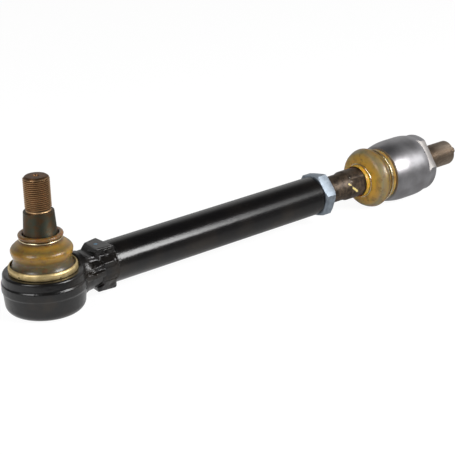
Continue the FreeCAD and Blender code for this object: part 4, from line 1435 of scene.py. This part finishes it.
@dataclass(frozen=True)
class Softbox:
    """A soft rectangular lamp, placed by the direction in which the part sees it."""

    name: str
    azimuth: float              # degrees from -Y towards +X
    height: float               # degrees above the horizon
    size: Point
    radiance: float
    distance: float = 1.6
    target: Place = (0.1, 0.0, 0.0)

    def build(self) -> None:
        """Make the lamp."""
        data = bpy.data.lights.new(self.name, "AREA")
        data.shape = "RECTANGLE"
        data.size, data.size_y = self.size
        data.energy = self.radiance * math.pi * self.size[0] * self.size[1]
        lamp = bpy.data.objects.new(self.name, data)
        bpy.context.scene.collection.objects.link(lamp)
        turn, rise = math.radians(self.azimuth), math.radians(self.height)
        level = Vector((math.sin(turn), -math.cos(turn), 0)) * math.cos(rise)
        away = level + Vector((0, 0, math.sin(rise)))
        lamp.location = Vector(self.target) + away * self.distance
        lamp.rotation_euler = (-away).to_track_quat("-Z", "Y").to_euler()


@dataclass
class Studio:
    """Camera, floor, lamps and white surroundings."""

    lens: float = 117.81
    place: Place = (-0.554003, -0.877360, 0.419218)
    right: Place = (0.75904575, -0.6502418, -0.03217374)
    up: Place = (0.24870517, 0.2439405, 0.93735733)
    back: Place = (-0.60166044, -0.71949888, 0.3468805)
    away: Place = (0.53, 0.85, 0.0)     # horizontal direction in which the camera looks
    floor_half: float = 6.0
    floor_gap: float = 0.2 * MM
    rests: tuple[Point, Point] = ((0.0, -0.02155), (0.378, -0.0273))    # lowest points (x, z)
    lamps: tuple[Softbox, ...] = (
        Softbox("key_softbox", 27.0, 28.5, (0.7, 0.66), 15.5),
        Softbox("edge_softbox", 46.0, 27.0, (0.34, 0.5), 1.6),
        Softbox("left_softbox", -80.0, 36.0, (0.6, 0.7), 7.0, 1.5),
    )

    def build(self) -> None:
        """Set up everything that isn't part of the object."""
        bpy.context.scene.view_settings.view_transform = "Standard"
        self._camera()
        self._floor()
        self._world()
        for lamp in self.lamps:
            lamp.build()

    def _camera(self) -> None:
        """Camera at the photograph's angle."""
        data = bpy.data.cameras.new("camera")
        data.sensor_width = 36
        data.lens = self.lens
        camera = bpy.data.objects.new("camera", data)
        bpy.context.scene.collection.objects.link(camera)
        columns = Matrix((self.right, self.up, self.back)).transposed().to_4x4()
        camera.matrix_world = Matrix.Translation(self.place) @ columns
        bpy.context.scene.camera = camera

    def _floor(self) -> None:
        """Pale floor that the drum and the housing both rest on.

        The camera sees it white. Mirrored rays see it bright near the camera and to the left,
        and dark beyond the part, as the surroundings of the photograph are.
        """
        (x0, z0), (x1, z1) = self.rests
        slope = (z1 - z0) / (x1 - x0)
        height = z0 - slope * x0 - self.floor_gap
        half = self.floor_half
        square = ((-half, -half), (half, -half), (half, half), (-half, half))
        mesh = bpy.data.meshes.new("floor")
        mesh.from_pydata([(x, y, height + slope * x) for x, y in square], [], [(0, 1, 2, 3)])
        floor = link("floor", mesh)
        paper = {"Base_Color": (0.86, 0.86, 0.86, 1), "Roughness": 0.9, "Specular_IOR_Level": 0.0}
        shader = Shader("floor_paper", **paper)
        left = shader.along((1, 0, 0)).step(0.2, -0.03)
        near = (shader.along((0, 1, 0)) + left * 0.05).step(-0.14, -0.035)
        mirrored = shader.path("Glossy", "Transmission")
        seen = shader.path("Camera")
        strength = seen * 1.1 + mirrored * (0.08 + near * (0.3 + left * 0.6))
        values = {"Color": (1, 1, 1, 1), "Strength": strength}
        glow = shader.node("ShaderNodeEmission", {}, values)
        inputs = {0: (seen + mirrored) * 0.85, 1: shader.surface.outputs[0], 2: glow.outputs[0]}
        mixed = shader.node("ShaderNodeMixShader", {}, inputs)
        surface = shader.tree.nodes["Material Output"].inputs["Surface"]
        shader.plug(surface, mixed.outputs[0])
        dress(floor, shader.material)

    def _world(self) -> None:
        """White to the camera. For light and reflections a bright backdrop under a dark ceiling."""
        world = bpy.data.worlds.new("studio")
        bpy.context.scene.world = world
        world.use_nodes = True
        nodes = Nodes(world.node_tree, "Generated")
        belt = nodes.along((0, 0, 1)).step(0.77, 0.45)
        behind = nodes.along(self.away).step(-0.5, 0.2)
        horizon = nodes.along((0, 0, 1)).step(0.22, 0.06)
        right = nodes.along((1, 0, 0)).step(-0.5, 0.05)
        level = 0.05 + belt * (0.07 + behind * (0.1 + right * 0.42)) * (1 - horizon * 0.33)
        strength = level.most(nodes.path("Camera"))
        background = nodes.tree.nodes["Background"]
        nodes.plug(background.inputs["Strength"], strength)
        nodes.plug(background.inputs["Color"], (1, 1, 1, 1))


def main() -> None:
    """Build every part of the scene in order."""
    logging.basicConfig(level=logging.INFO, format="%(name)s: %(message)s")
    pieces = (OuterSocket(), TaperedStud(), Boots(), AdjustingRod(), EndJoint(), InnerPieces())
    for part in (*pieces, Studio()):
        part.build()


if __name__ == "__main__":
    main()
